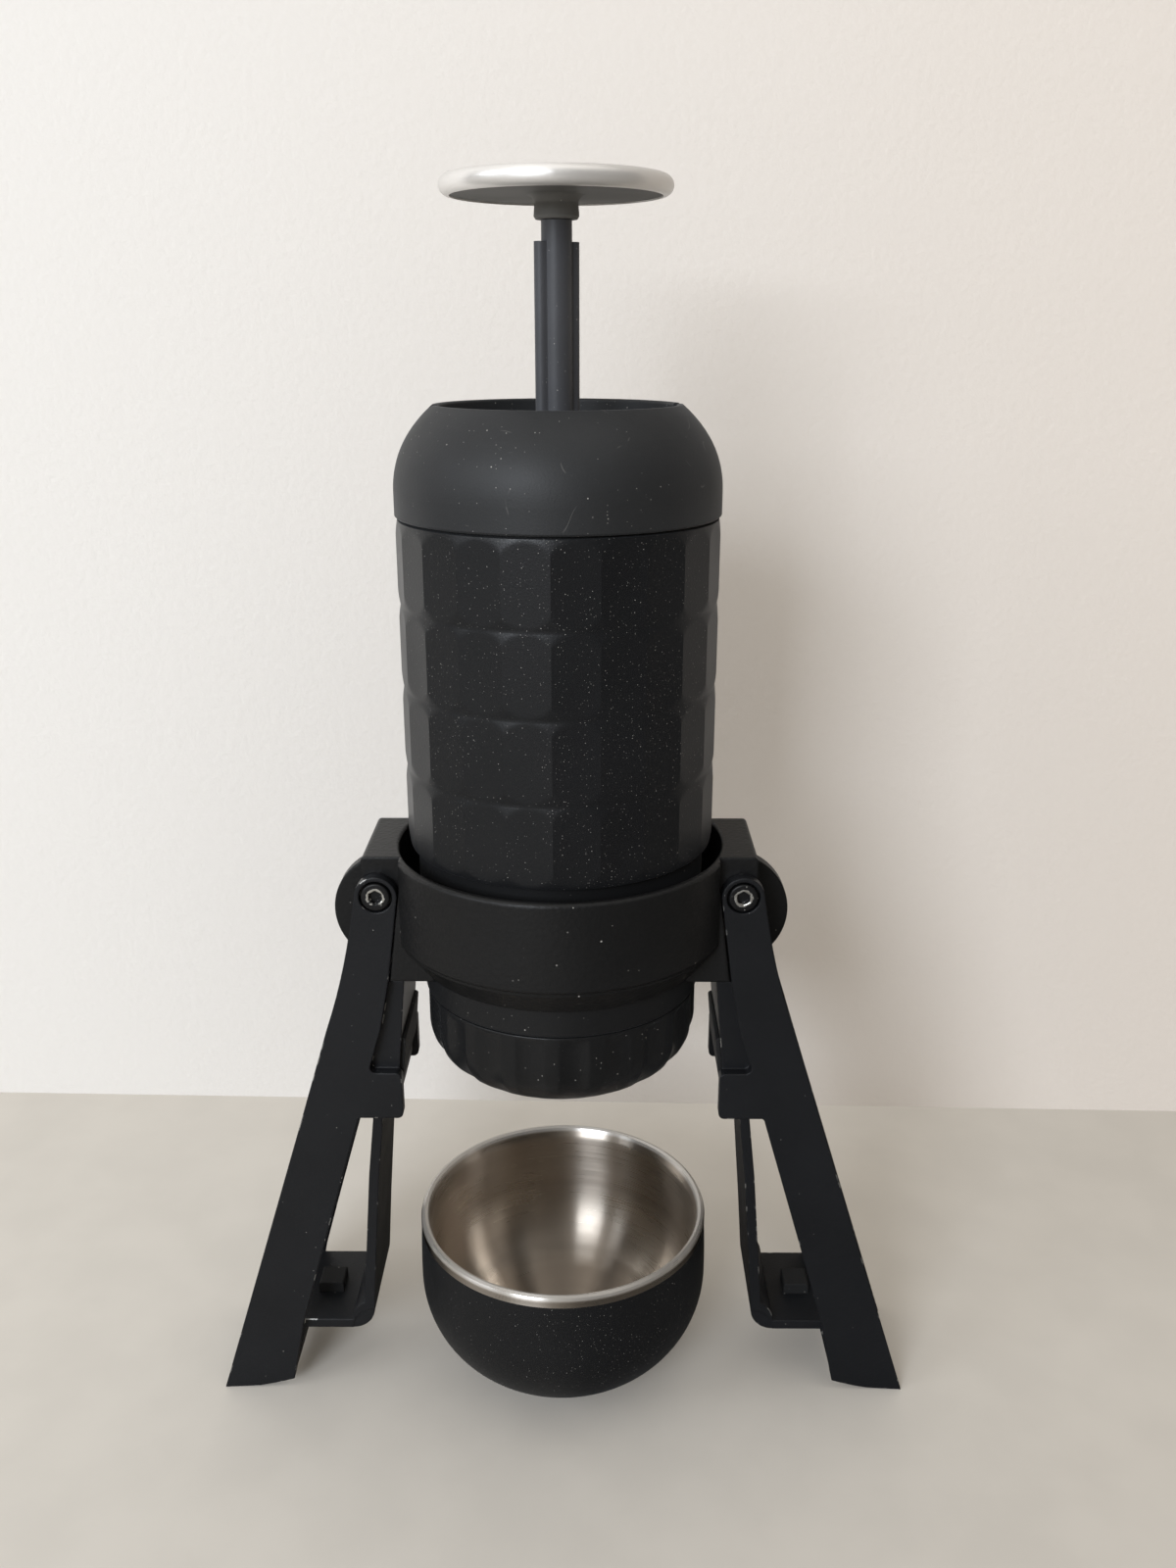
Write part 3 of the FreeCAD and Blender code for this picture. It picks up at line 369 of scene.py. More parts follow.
# ---------------------------------------------------------------- shared surface effects
class Effects:
    """The shader node groups that several finishes share, each built once.

    A pair of numbers is where a soft change starts and ends, or the values at its two ends.
    """

    CELL_SCALE, CELL_SHARE = 0.8, 0.45
    SMUDGED: Span = (0.35, 0.68)
    GATHERED: Span = (0.4, 0.65)
    SPARSE_TO_DENSE: Span = (0.35, 1.8)
    SIDE_CHANGE: Span = (-0.012, 0.012)
    SMALLEST_SPECK, SPECK_CORE, FAINTEST_SPECK = 0.4, 0.55, 0.25
    SCUFF_LINE, SCUFF_PATCH_SCALE = 0.5, 2.3
    SCUFF_PATCH: Span = (0.58, 0.64)
    EDGE_TURN: Span = (0.985, 0.9)
    FLAKE_BAR: Span = (0.78, 0.42)
    FLAKE_SOFT = 0.03
    EDGE_SAMPLES = 6
    LINE_STRETCH, BAND_STRETCH, BAND_PITCH = 12.0, 8.0, 240.0

    def __init__(self) -> None:
        """Builds every group."""
        self.grain = self._grain()
        self.smudges = self._smudges()
        self.dust = self._dust()
        self.scratches = self._scratches()
        self.edges = self._edges()
        self.turned = self._turned()

    def _grain(self) -> bpy.types.NodeTree:
        """Fine moulded or sprayed texture, as a height.

        Returns:
            The group.
        """
        graph, given, out = new_group(
            "fine_grain", "ShaderNodeTree", {"Scale": (FLOAT, 1500.0)}, {"Height": FLOAT})
        where = graph.on_object()
        coarse = graph.noise(where, given.outputs["Scale"], detail=3.0)
        cell_scale = graph.product(given.outputs["Scale"], self.CELL_SCALE)
        cells = graph.call("ShaderNodeTexVoronoi", {"Vector": where, "Scale": cell_scale})
        height = graph.between(self.CELL_SHARE, coarse, cells.outputs["Distance"])
        graph.feed(out.inputs["Height"], height)
        return graph.tree

    def _smudges(self) -> bpy.types.NodeTree:
        """Broad uneven patches left by handling.

        Returns:
            The group.
        """
        graph, given, out = new_group(
            "handling_smudges", "ShaderNodeTree", {"Scale": (FLOAT, 30.0)}, {"Mask": FLOAT})
        broad = graph.noise(graph.on_object(), given.outputs["Scale"], detail=4.0)
        graph.feed(out.inputs["Mask"], graph.step(broad, *self.SMUDGED))
        return graph.tree

    def _dust(self) -> bpy.types.NodeTree:
        """Pale specks of random size, denser in some places.

        Returns:
            The group.
        """
        graph, given, out = new_group(
            "dust_specks", "ShaderNodeTree",
            {"Scale": (FLOAT, 900.0), "Coverage": (FLOAT, 0.1), "Size": (FLOAT, 0.25),
             "Gather": (FLOAT, 30.0), "Rightwards": (FLOAT, 0.0)}, {"Mask": FLOAT})
        where = graph.on_object()
        cells = graph.call("ShaderNodeTexVoronoi", {
            "Vector": where, "Scale": given.outputs["Scale"]})
        draw = graph.call("ShaderNodeSeparateColor", {"Color": cells.outputs["Color"]})
        gathered = graph.step(graph.noise(where, given.outputs["Gather"]), *self.GATHERED)
        density = graph.between(gathered, *self.SPARSE_TO_DENSE)
        right = graph.step(graph.split(where)[0], *self.SIDE_CHANGE)
        more = graph.math("ADD", graph.product(right, given.outputs["Rightwards"]), 1.0)
        chance = graph.product(given.outputs["Coverage"], density, more)
        chosen = graph.math("LESS_THAN", draw.outputs[0], chance)
        size = graph.between(draw.outputs[1], self.SMALLEST_SPECK, 1.0)
        radius = graph.product(given.outputs["Size"], size)
        core = graph.product(radius, self.SPECK_CORE)
        inside = graph.step(cells.outputs["Distance"], radius, core)
        shine = graph.between(graph.math("POWER", draw.outputs[2], 2.0), self.FAINTEST_SPECK, 1.0)
        graph.feed(out.inputs["Mask"], graph.product(inside, chosen, shine))
        return graph.tree

    def _scratches(self) -> bpy.types.NodeTree:
        """Sparse hair-thin curved scuffs.

        Returns:
            The group.
        """
        graph, given, out = new_group(
            "hair_scratches", "ShaderNodeTree", {"Scale": (FLOAT, 60.0), "Width": (FLOAT, 0.004)},
            {"Mask": FLOAT})
        where = graph.on_object()
        path = graph.noise(where, given.outputs["Scale"], detail=1.0)
        off_line = graph.math("ABSOLUTE", graph.math("SUBTRACT", path, self.SCUFF_LINE))
        line = graph.step(off_line, given.outputs["Width"], 0.0)
        patch_scale = graph.product(given.outputs["Scale"], self.SCUFF_PATCH_SCALE)
        patch = graph.step(graph.noise(where, patch_scale, detail=3.0), *self.SCUFF_PATCH)
        graph.feed(out.inputs["Mask"], graph.product(line, patch))
        return graph.tree

    def _edges(self) -> bpy.types.NodeTree:
        """Rounded-edge normal, and a broken mask of the edges where paint wears off.

        Returns:
            The group.
        """
        graph, given, out = new_group(
            "edge_wear", "ShaderNodeTree",
            {"Radius": (FLOAT, 0.0004), "Amount": (FLOAT, 0.2), "Scale": (FLOAT, 220.0)},
            {"Mask": FLOAT, "Normal": VECTOR})
        rounded = graph.call("ShaderNodeBevel", {"Radius": given.outputs["Radius"]},
                             samples=self.EDGE_SAMPLES)
        facing = graph.add("ShaderNodeNewGeometry").outputs["Normal"]
        turn = graph.vector("DOT_PRODUCT", rounded.outputs[0], facing)
        edge = graph.step(turn.outputs["Value"], *self.EDGE_TURN)
        flakes = graph.noise(graph.on_object(), given.outputs["Scale"], detail=5.0)
        bar = graph.between(given.outputs["Amount"], *self.FLAKE_BAR)
        broken = graph.step(flakes, bar, graph.math("ADD", bar, self.FLAKE_SOFT))
        graph.feed(out.inputs["Mask"], graph.product(edge, broken))
        graph.feed(out.inputs["Normal"], rounded.outputs[0])
        return graph.tree

    def _turned(self) -> bpy.types.NodeTree:
        """Fine lines round the vertical axis, as a lathe or spinning tool leaves them.

        Returns:
            The group.
        """
        graph, given, out = new_group(
            "turned_lines", "ShaderNodeTree",
            {"Pitch": (FLOAT, 4000.0), "Centre": (VECTOR, (0.0, 0.0, 0.0))},
            {"Lines": FLOAT, "Bands": FLOAT})
        centred = graph.vector("SUBTRACT", graph.on_object(), given.outputs["Centre"])
        x, y, z = graph.split(centred.outputs[0])
        along = graph.math("ADD", graph.math("SQRT", graph.squares(x, y)), z)
        for label, stretch, pitch in (("Lines", self.LINE_STRETCH, given.outputs["Pitch"]),
                                      ("Bands", self.BAND_STRETCH, self.BAND_PITCH)):
            drawn_out = graph.join(graph.product(x, stretch), graph.product(y, stretch),
                                   graph.product(along, pitch))
            graph.feed(out.inputs[label], graph.noise(drawn_out, 1.0))
        return graph.tree


# ---------------------------------------------------------------- finishes
def effect(graph: Graph, group: bpy.types.NodeTree, **values: object) -> bpy.types.Node:
    """Places a shared effect in a material.

    Args:
        graph: the material's graph.
        group: the shared group.
        values: its inputs by name.

    Returns:
        The group node.
    """
    node = graph.add("ShaderNodeGroup", node_tree=group)
    for name, value in values.items():
        graph.feed(node.inputs[name], value)
    return node


def new_material(name: str) -> tuple[bpy.types.Material, Graph, bpy.types.Node]:
    """A material with a Principled shader on its output.

    Args:
        name: the material's name.

    Returns:
        The material, its graph and the Principled node.
    """
    material = bpy.data.materials.new(name)
    material.use_nodes = True
    graph = Graph(material.node_tree)
    shader = graph.add("ShaderNodeBsdfPrincipled")
    output = graph.add("ShaderNodeOutputMaterial")
    graph.feed(output.inputs["Surface"], shader.outputs[0])
    return material, graph, shader


@dataclass(frozen=True)
class CoatedFinish:
    """A coated, painted or moulded surface with grain, dust, scuffs and worn edges.

    Lengths are in metres and scales in cells per metre. The other numbers are shares.
    """

    name: str
    colour: Colour
    roughness: float = 0.6
    grain_scale: float = 1500.0
    grain_depth: float = 0.00002
    sheen: float = 0.0
    dust: float = 0.05
    dust_scale: float = 900.0
    dust_size: float = 0.3
    dust_gather: float = 30.0
    dust_rightwards: float = 0.0
    dust_colour: Colour = (0.42, 0.41, 0.39)
    scratches: float = 0.0
    edge_radius: float = 0.0004
    wear: float = 0.0
    worn_colour: Colour = (0.06, 0.06, 0.062)
    worn_metal: float = 0.0
    specular: float = 0.27
    smudge_scale: float = 26.0
    smudge_shade: float = 1.35
    smudge_polish: float = 0.07
    scratch_scale: float = 55.0
    worn_roughness: float = 0.38
    dust_cover: float = 0.85
    dust_roughness: float = 0.9
    sheen_roughness: float = 0.45
    sheen_tint: Colour = (0.86, 0.92, 1.0)

    def build(self, effects: Effects) -> bpy.types.Material:
        """Makes the material.

        Args:
            effects: the shared groups.

        Returns:
            The material.
        """
        material, graph, shader = new_material(self.name)
        smudge = effect(graph, effects.smudges, Scale=self.smudge_scale).outputs["Mask"]
        specks = effect(graph, effects.dust, Scale=self.dust_scale, Coverage=self.dust,
                        Size=self.dust_size, Gather=self.dust_gather,
                        Rightwards=self.dust_rightwards).outputs["Mask"]
        edges = effect(graph, effects.edges, Radius=self.edge_radius, Amount=self.wear)
        grain = effect(graph, effects.grain, Scale=self.grain_scale).outputs["Height"]
        colour = graph.blend(smudge, self.colour, shade(self.colour, self.smudge_shade))
        rough = graph.between(smudge, self.roughness, self.roughness - self.smudge_polish)
        if self.scratches:
            lines = effect(graph, effects.scratches, Scale=self.scratch_scale).outputs["Mask"]
            faint = graph.product(lines, self.scratches)
            colour = graph.blend(faint, colour, self.dust_colour)
        if self.wear:
            colour = graph.blend(edges.outputs["Mask"], colour, self.worn_colour)
            rough = graph.between(edges.outputs["Mask"], rough, self.worn_roughness)
        if self.worn_metal:
            metal = graph.product(edges.outputs["Mask"], self.worn_metal)
            graph.feed(shader.inputs["Metallic"], metal)
        veil = graph.product(specks, self.dust_cover)
        graph.feed(shader.inputs["Base Color"], graph.blend(veil, colour, self.dust_colour))
        graph.feed(shader.inputs["Roughness"], graph.between(specks, rough, self.dust_roughness))
        graph.bump(shader, self.grain_depth, grain, edges.outputs["Normal"])
        shader.inputs["Specular IOR Level"].default_value = self.specular
        shader.inputs["Sheen Weight"].default_value = self.sheen
        shader.inputs["Sheen Roughness"].default_value = self.sheen_roughness
        shader.inputs["Sheen Tint"].default_value = opaque(self.sheen_tint)
        return material


@dataclass(frozen=True)
class TurnedMetal:
    """Bare metal with the fine lines of turning or spinning.

    Lengths and heights are in metres and scales in cells per metre. The other numbers are
    shares. Above one height the metal is satin and paler: the knob's own satin finish, and on
    the liner's rolled rim a painted highlight. Below another height the colour of the stains
    darkens it as painted shade on the floor of the cup.
    """

    name: str
    colour: Colour
    roughness: float = 0.28
    pitch: float = 4000.0
    line_depth: float = 0.000004
    centre: Place = (0.0, 0.0, 0.0)
    anisotropy: float = 0.0
    # Colour of the smudge stains, and of the painted shade low down.
    stain_and_shade: Colour = (0.40, 0.33, 0.27)
    stained: float = 0.0
    satin: float = 0.0
    # Above this height: pale satin over a whole part, a painted highlight on a rim.
    satin_and_highlight_above: float = 10.0
    pale: Colour = (0.80, 0.79, 0.77)
    # Below this height the metal is darkened as painted shade.
    painted_shade_below: float = -1.0
    smudge_scale: float = 60.0
    smudge_roughness: float = 0.05
    band_shade: float = 0.76
    line_smoother: float = 0.06
    line_rougher: float = 0.08
    painted_shade_reach: float = 0.010
    painted_shade_share: float = 0.6
    satin_and_highlight_edge: float = 0.0004
    grain_turn: float = 0.25

    def build(self, effects: Effects) -> bpy.types.Material:
        """Makes the material.

        Args:
            effects: the shared groups.

        Returns:
            The material.
        """
        material, graph, shader = new_material(self.name)
        turned = effect(graph, effects.turned, Pitch=self.pitch, Centre=self.centre)
        smudge = effect(graph, effects.smudges, Scale=self.smudge_scale).outputs["Mask"]
        dull = shade(self.colour, self.band_shade)
        colour = graph.blend(turned.outputs["Bands"], dull, self.colour)
        colour = graph.blend(graph.product(smudge, self.stained), colour, self.stain_and_shade)
        rough = graph.between(turned.outputs["Lines"], self.roughness - self.line_smoother,
                              self.roughness + self.line_rougher)
        rough = graph.math("ADD", rough, graph.product(smudge, self.smudge_roughness))
        height = graph.split(graph.on_object())[2]
        # Painted shade: below a height, on the floor of the cup, the metal darkens towards the
        # stains' colour.
        low = graph.step(height, self.painted_shade_below, self.painted_shade_below - self.painted_shade_reach)
        colour = graph.blend(graph.product(low, self.painted_shade_share), colour, self.stain_and_shade)
        # Paler above a height: painted highlight on the liner's rim, satin on the whole knob.
        soft = graph.step(height, self.satin_and_highlight_above - self.satin_and_highlight_edge,
                          self.satin_and_highlight_above + self.satin_and_highlight_edge)
        graph.feed(shader.inputs["Metallic"], graph.between(soft, 1.0, 1.0 - self.satin))
        graph.feed(shader.inputs["Base Color"], graph.blend(soft, colour, self.pale))
        graph.feed(shader.inputs["Roughness"], rough)
        graph.bump(shader, self.line_depth, turned.outputs["Lines"])
        tangent = graph.add("ShaderNodeTangent", direction_type="RADIAL", axis="Z")
        graph.feed(shader.inputs["Tangent"], tangent.outputs[0])
        shader.inputs["Anisotropic"].default_value = self.anisotropy
        shader.inputs["Anisotropic Rotation"].default_value = self.grain_turn
        return material


class Finish(Enum):
    """Every finish of the object, by the part that shows it most."""

    SHELL = CoatedFinish(
        "shell_soft_touch", (0.0066, 0.0070, 0.0079), roughness=0.38, grain_scale=2400.0,
        grain_depth=0.00003, sheen=0.03, dust=0.6, dust_scale=1500.0, dust_size=0.185,
        dust_gather=26.0, dust_rightwards=1.8, edge_radius=0.00012)
    DOME = CoatedFinish(
        "dome_soft_touch", (0.0160, 0.0168, 0.0180), roughness=0.56, grain_scale=2400.0,
        grain_depth=0.00003, sheen=0.05, dust=0.22, dust_scale=1000.0, dust_size=0.2,
        scratches=0.12, edge_radius=0.0003)
    RING = CoatedFinish(
        "ring_moulded", (0.0066, 0.0067, 0.0070), roughness=0.40, grain_scale=1000.0,
        grain_depth=0.0001, dust=0.06, dust_scale=800.0, dust_size=0.22, wear=0.12,
        worn_colour=(0.03, 0.03, 0.03), edge_radius=0.0009)
    LEG = CoatedFinish(
        "leg_painted_alloy", (0.0074, 0.0080, 0.0094), roughness=0.42, grain_scale=1500.0,
        grain_depth=0.00004, dust=0.03, dust_scale=900.0, dust_size=0.18, wear=0.46,
        worn_colour=(0.55, 0.55, 0.53), worn_metal=0.9, edge_radius=0.0006)
    HEAD = CoatedFinish(
        "head_moulded", (0.0066, 0.0068, 0.0073), roughness=0.46, grain_scale=1600.0,
        grain_depth=0.00003, sheen=0.03, dust=0.12, dust_scale=1000.0, dust_size=0.22)
    BOWL = CoatedFinish(
        "cap_moulded", (0.0070, 0.0072, 0.0077), roughness=0.33, grain_scale=1800.0,
        grain_depth=0.00003, sheen=0.03, dust=0.14, dust_scale=1000.0, dust_size=0.22)
    STEM = CoatedFinish(
        "stem_moulded", (0.048, 0.050, 0.056), roughness=0.46, grain_scale=2000.0,
        grain_depth=0.00003, sheen=0.05, dust=0.2, dust_scale=1200.0, dust_size=0.2)
    # Painted reflection: the knob's underside is coloured mid-grey for the light it reflects from
    # below.
    KNOB_BASE_PAINTED_REFLECTION = CoatedFinish(
        "knob_underside_painted_reflection", (0.095, 0.095, 0.092), roughness=0.62, grain_scale=1800.0,
        grain_depth=0.00002, dust=0.05, dust_scale=900.0, dust_size=0.24)
    PAD = CoatedFinish(
        "pad_rubber", (0.0105, 0.0107, 0.0110), roughness=0.70, grain_scale=1500.0,
        grain_depth=0.00003, dust=0.06)
    CUP = CoatedFinish(
        "cup_soft_touch", (0.0054, 0.0057, 0.0064), roughness=0.48, grain_scale=2400.0,
        grain_depth=0.00003, sheen=0.02, dust=0.7, dust_scale=1500.0, dust_size=0.19,
        dust_gather=22.0)
    INNER = CoatedFinish(
        "inner_moulded", (0.05, 0.05, 0.053), roughness=0.6, grain_scale=1200.0,
        grain_depth=0.00002, dust=0.0)
    SEAL = CoatedFinish(
        "seal_silicone", (0.30, 0.30, 0.29), roughness=0.5, grain_scale=900.0, grain_depth=0.00002,
        dust=0.0)
    KNOB = TurnedMetal(
        "knob_alloy_brushed", (0.90, 0.88, 0.855), roughness=0.32, pitch=3600.0,
        line_depth=0.000006, anisotropy=0.6, satin=0.34, satin_and_highlight_above=0.0, pale=(0.86, 0.84, 0.815))
    # Rim painted pale as a highlight, floor painted darker as shade.
    LINER = TurnedMetal(
        "cup_steel_spun", (0.56, 0.505, 0.44), roughness=0.27, pitch=3600.0, line_depth=0.000005,
        centre=(0.0, -0.002, 0.0), anisotropy=0.95, stained=0.35, satin=0.25, satin_and_highlight_above=0.0485,
        pale=(0.66, 0.63, 0.59), painted_shade_below=0.016)
    INNER_STEEL = TurnedMetal(
        "inner_steel_turned", (0.62, 0.61, 0.60), roughness=0.32, pitch=2500.0, line_depth=0.000004)

    def material(self, effects: Effects) -> bpy.types.Material:
        """The finish's material, made the first time it is asked for.

        Args:
            effects: the shared groups.

        Returns:
            The material.
        """
        made = bpy.data.materials.get(self.value.name)
        return made or self.value.build(effects)


@dataclass(frozen=True)
class ScrewFinish:
    """Black-oxide screw steel, rubbed bright in a ring round the mouth of the key hole.

    Lengths are in metres and scales in cells per metre. The other numbers are shares.
    """

    name: str = "screw_black_oxide"
    dark: Colour = (0.006, 0.006, 0.0065)
    bright: Colour = (0.72, 0.71, 0.67)
    pivot: Point = (0.0446, 0.1475)
    ring_inner: float = 0.00170
    ring_outer: float = 0.00218
    ring_soft: float = 0.0001
    wander: float = 0.0009
    wander_scale: float = 900.0
    broken_scale: float = 420.0
    broken: Span = (0.38, 0.48)
    scuff_scale: float = 1300.0
    scuffed: Span = (0.70, 0.74)
    scuff_depth: float = 0.7
    edge_radius: float = 0.00025
    edge_wear: float = 0.2
    edge_scale: float = 700.0
    grain_scale: float = 2600.0
    grain_depth: float = 0.00001
    roughness: Span = (0.38, 0.28)
    specular: float = 0.3

    def _rubbed(self, graph: Graph) -> Socket:
        """Where the key and the tools have worn the black away.

        Args:
            graph: the material's graph.

        Returns:
            The mask.
        """
        where = graph.on_object()
        x, _, z = graph.split(where)
        across = graph.math("SUBTRACT", graph.math("ABSOLUTE", x), self.pivot[0])
        up = graph.math("SUBTRACT", z, self.pivot[1])
        radius = graph.math("SQRT", graph.squares(across, up))
        uneven = graph.math("SUBTRACT", graph.noise(where, self.wander_scale, detail=3.0), 0.5)
        edge = graph.math("ADD", radius, graph.product(uneven, self.wander))
        outer = graph.step(edge, self.ring_outer + self.ring_soft, self.ring_outer - self.ring_soft)
        inner = graph.step(edge, self.ring_inner - self.ring_soft, self.ring_inner + self.ring_soft)
        worn = graph.step(graph.noise(where, self.broken_scale), *self.broken)
        scuffs = graph.step(graph.noise(where, self.scuff_scale), *self.scuffed)
        return graph.math("MAXIMUM", graph.product(outer, inner, worn),
                          graph.product(scuffs, self.scuff_depth))

    def build(self, effects: Effects) -> bpy.types.Material:
        """Makes the material.

        Args:
            effects: the shared groups.

        Returns:
            The material.
        """
        material, graph, shader = new_material(self.name)
        edges = effect(graph, effects.edges, Radius=self.edge_radius, Amount=self.edge_wear,
                       Scale=self.edge_scale)
        grain = effect(graph, effects.grain, Scale=self.grain_scale).outputs["Height"]
        rubbed = self._rubbed(graph)
        graph.feed(shader.inputs["Base Color"], graph.blend(rubbed, self.dark, self.bright))
        graph.feed(shader.inputs["Metallic"], rubbed)
        graph.feed(shader.inputs["Roughness"], graph.between(rubbed, *self.roughness))
        shader.inputs["Specular IOR Level"].default_value = self.specular
        graph.bump(shader, self.grain_depth, grain, edges.outputs["Normal"])
        return material


def dress(material: bpy.types.Material, *nodes: str) -> None:
    """Gives carried-over nodes a material.

    Args:
        material: the finish.
        nodes: names of the nodes.
    """
    for name in nodes:
        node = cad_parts[name]
        node.data.materials.clear()
        node.data.materials.append(material)


def soften(width: float, *nodes: str, sharper_than: float = 38.0) -> None:
    """Rounds the sharp edges of carried-over nodes.

    Args:
        width: how far the rounding reaches from the edge, in millimetres.
        nodes: names of the nodes.
        sharper_than: turn of the surface from which an edge is rounded, in degrees.
    """
    for name in nodes:
        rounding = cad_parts[name].modifiers.new("soft_edges", "BEVEL")
        rounding.width = width * MM
        rounding.segments = 2
        rounding.limit_method = "ANGLE"
        rounding.angle_limit = math.radians(sharper_than)
        rounding.use_clamp_overlap = True


# ---------------------------------------------------------------- lathed pieces with a rule
def arc_points(start: Point, end: Point, radius: float, count: int) -> list[Point]:
    """Points of a minor arc after its start; a positive radius turns left.

    Args:
        start: first point, in millimetres.
        end: last point.
        radius: signed radius.
        count: number of points returned, the last of them the end.

    Returns:
        The points.
    """
    first, last = Vector(start), Vector(end)
    chord = last - first
    side = Vector((-chord.y, chord.x)).normalized()
    height = math.sqrt(max(radius * radius - (chord.length / 2) ** 2, 0.0))
    centre = (first + last) / 2 + side * math.copysign(height, radius)
    spoke = first - centre
    turn = math.copysign(2 * math.asin(min(chord.length / 2 / abs(radius), 1.0)), radius)
    points = []
    for index in range(1, count + 1):
        angle = turn * index / count
        cosine, sine = math.cos(angle), math.sin(angle)
        points.append((centre.x + spoke.x * cosine - spoke.y * sine,
                       centre.y + spoke.x * sine + spoke.y * cosine))
    return points


def section_points(vertices: Sequence[Vertex], spacing: float, fine_from: float = math.inf,
                   fine: float = 1.0) -> list[Point]:
    """A closed section as points: straight edges and arcs divided evenly.

    Args:
        vertices: (radius, height) ends a straight edge, a third number makes it an arc.
        spacing: largest step along the section, in millimetres.
        fine_from: radius from which the finer step holds.
        fine: the finer step.

    Returns:
        The points, in millimetres.
    """
    points: list[Point] = []
    for index, vertex in enumerate(vertices):
        before = vertices[index - 1]
        length = math.dist(before[:2], vertex[:2])
        step_length = fine if min(before[0], vertex[0]) > fine_from else spacing
        count = max(1, math.ceil(length / step_length))
        if len(vertex) == 3:
            points += arc_points(before[:2], vertex[:2], vertex[2], max(count, FEWEST_ARC_STEPS))
        else:
            steps = [step / count for step in range(1, count + 1)]
            points += [(before[0] + (vertex[0] - before[0]) * step,
                        before[1] + (vertex[1] - before[1]) * step) for step in steps]
    return points


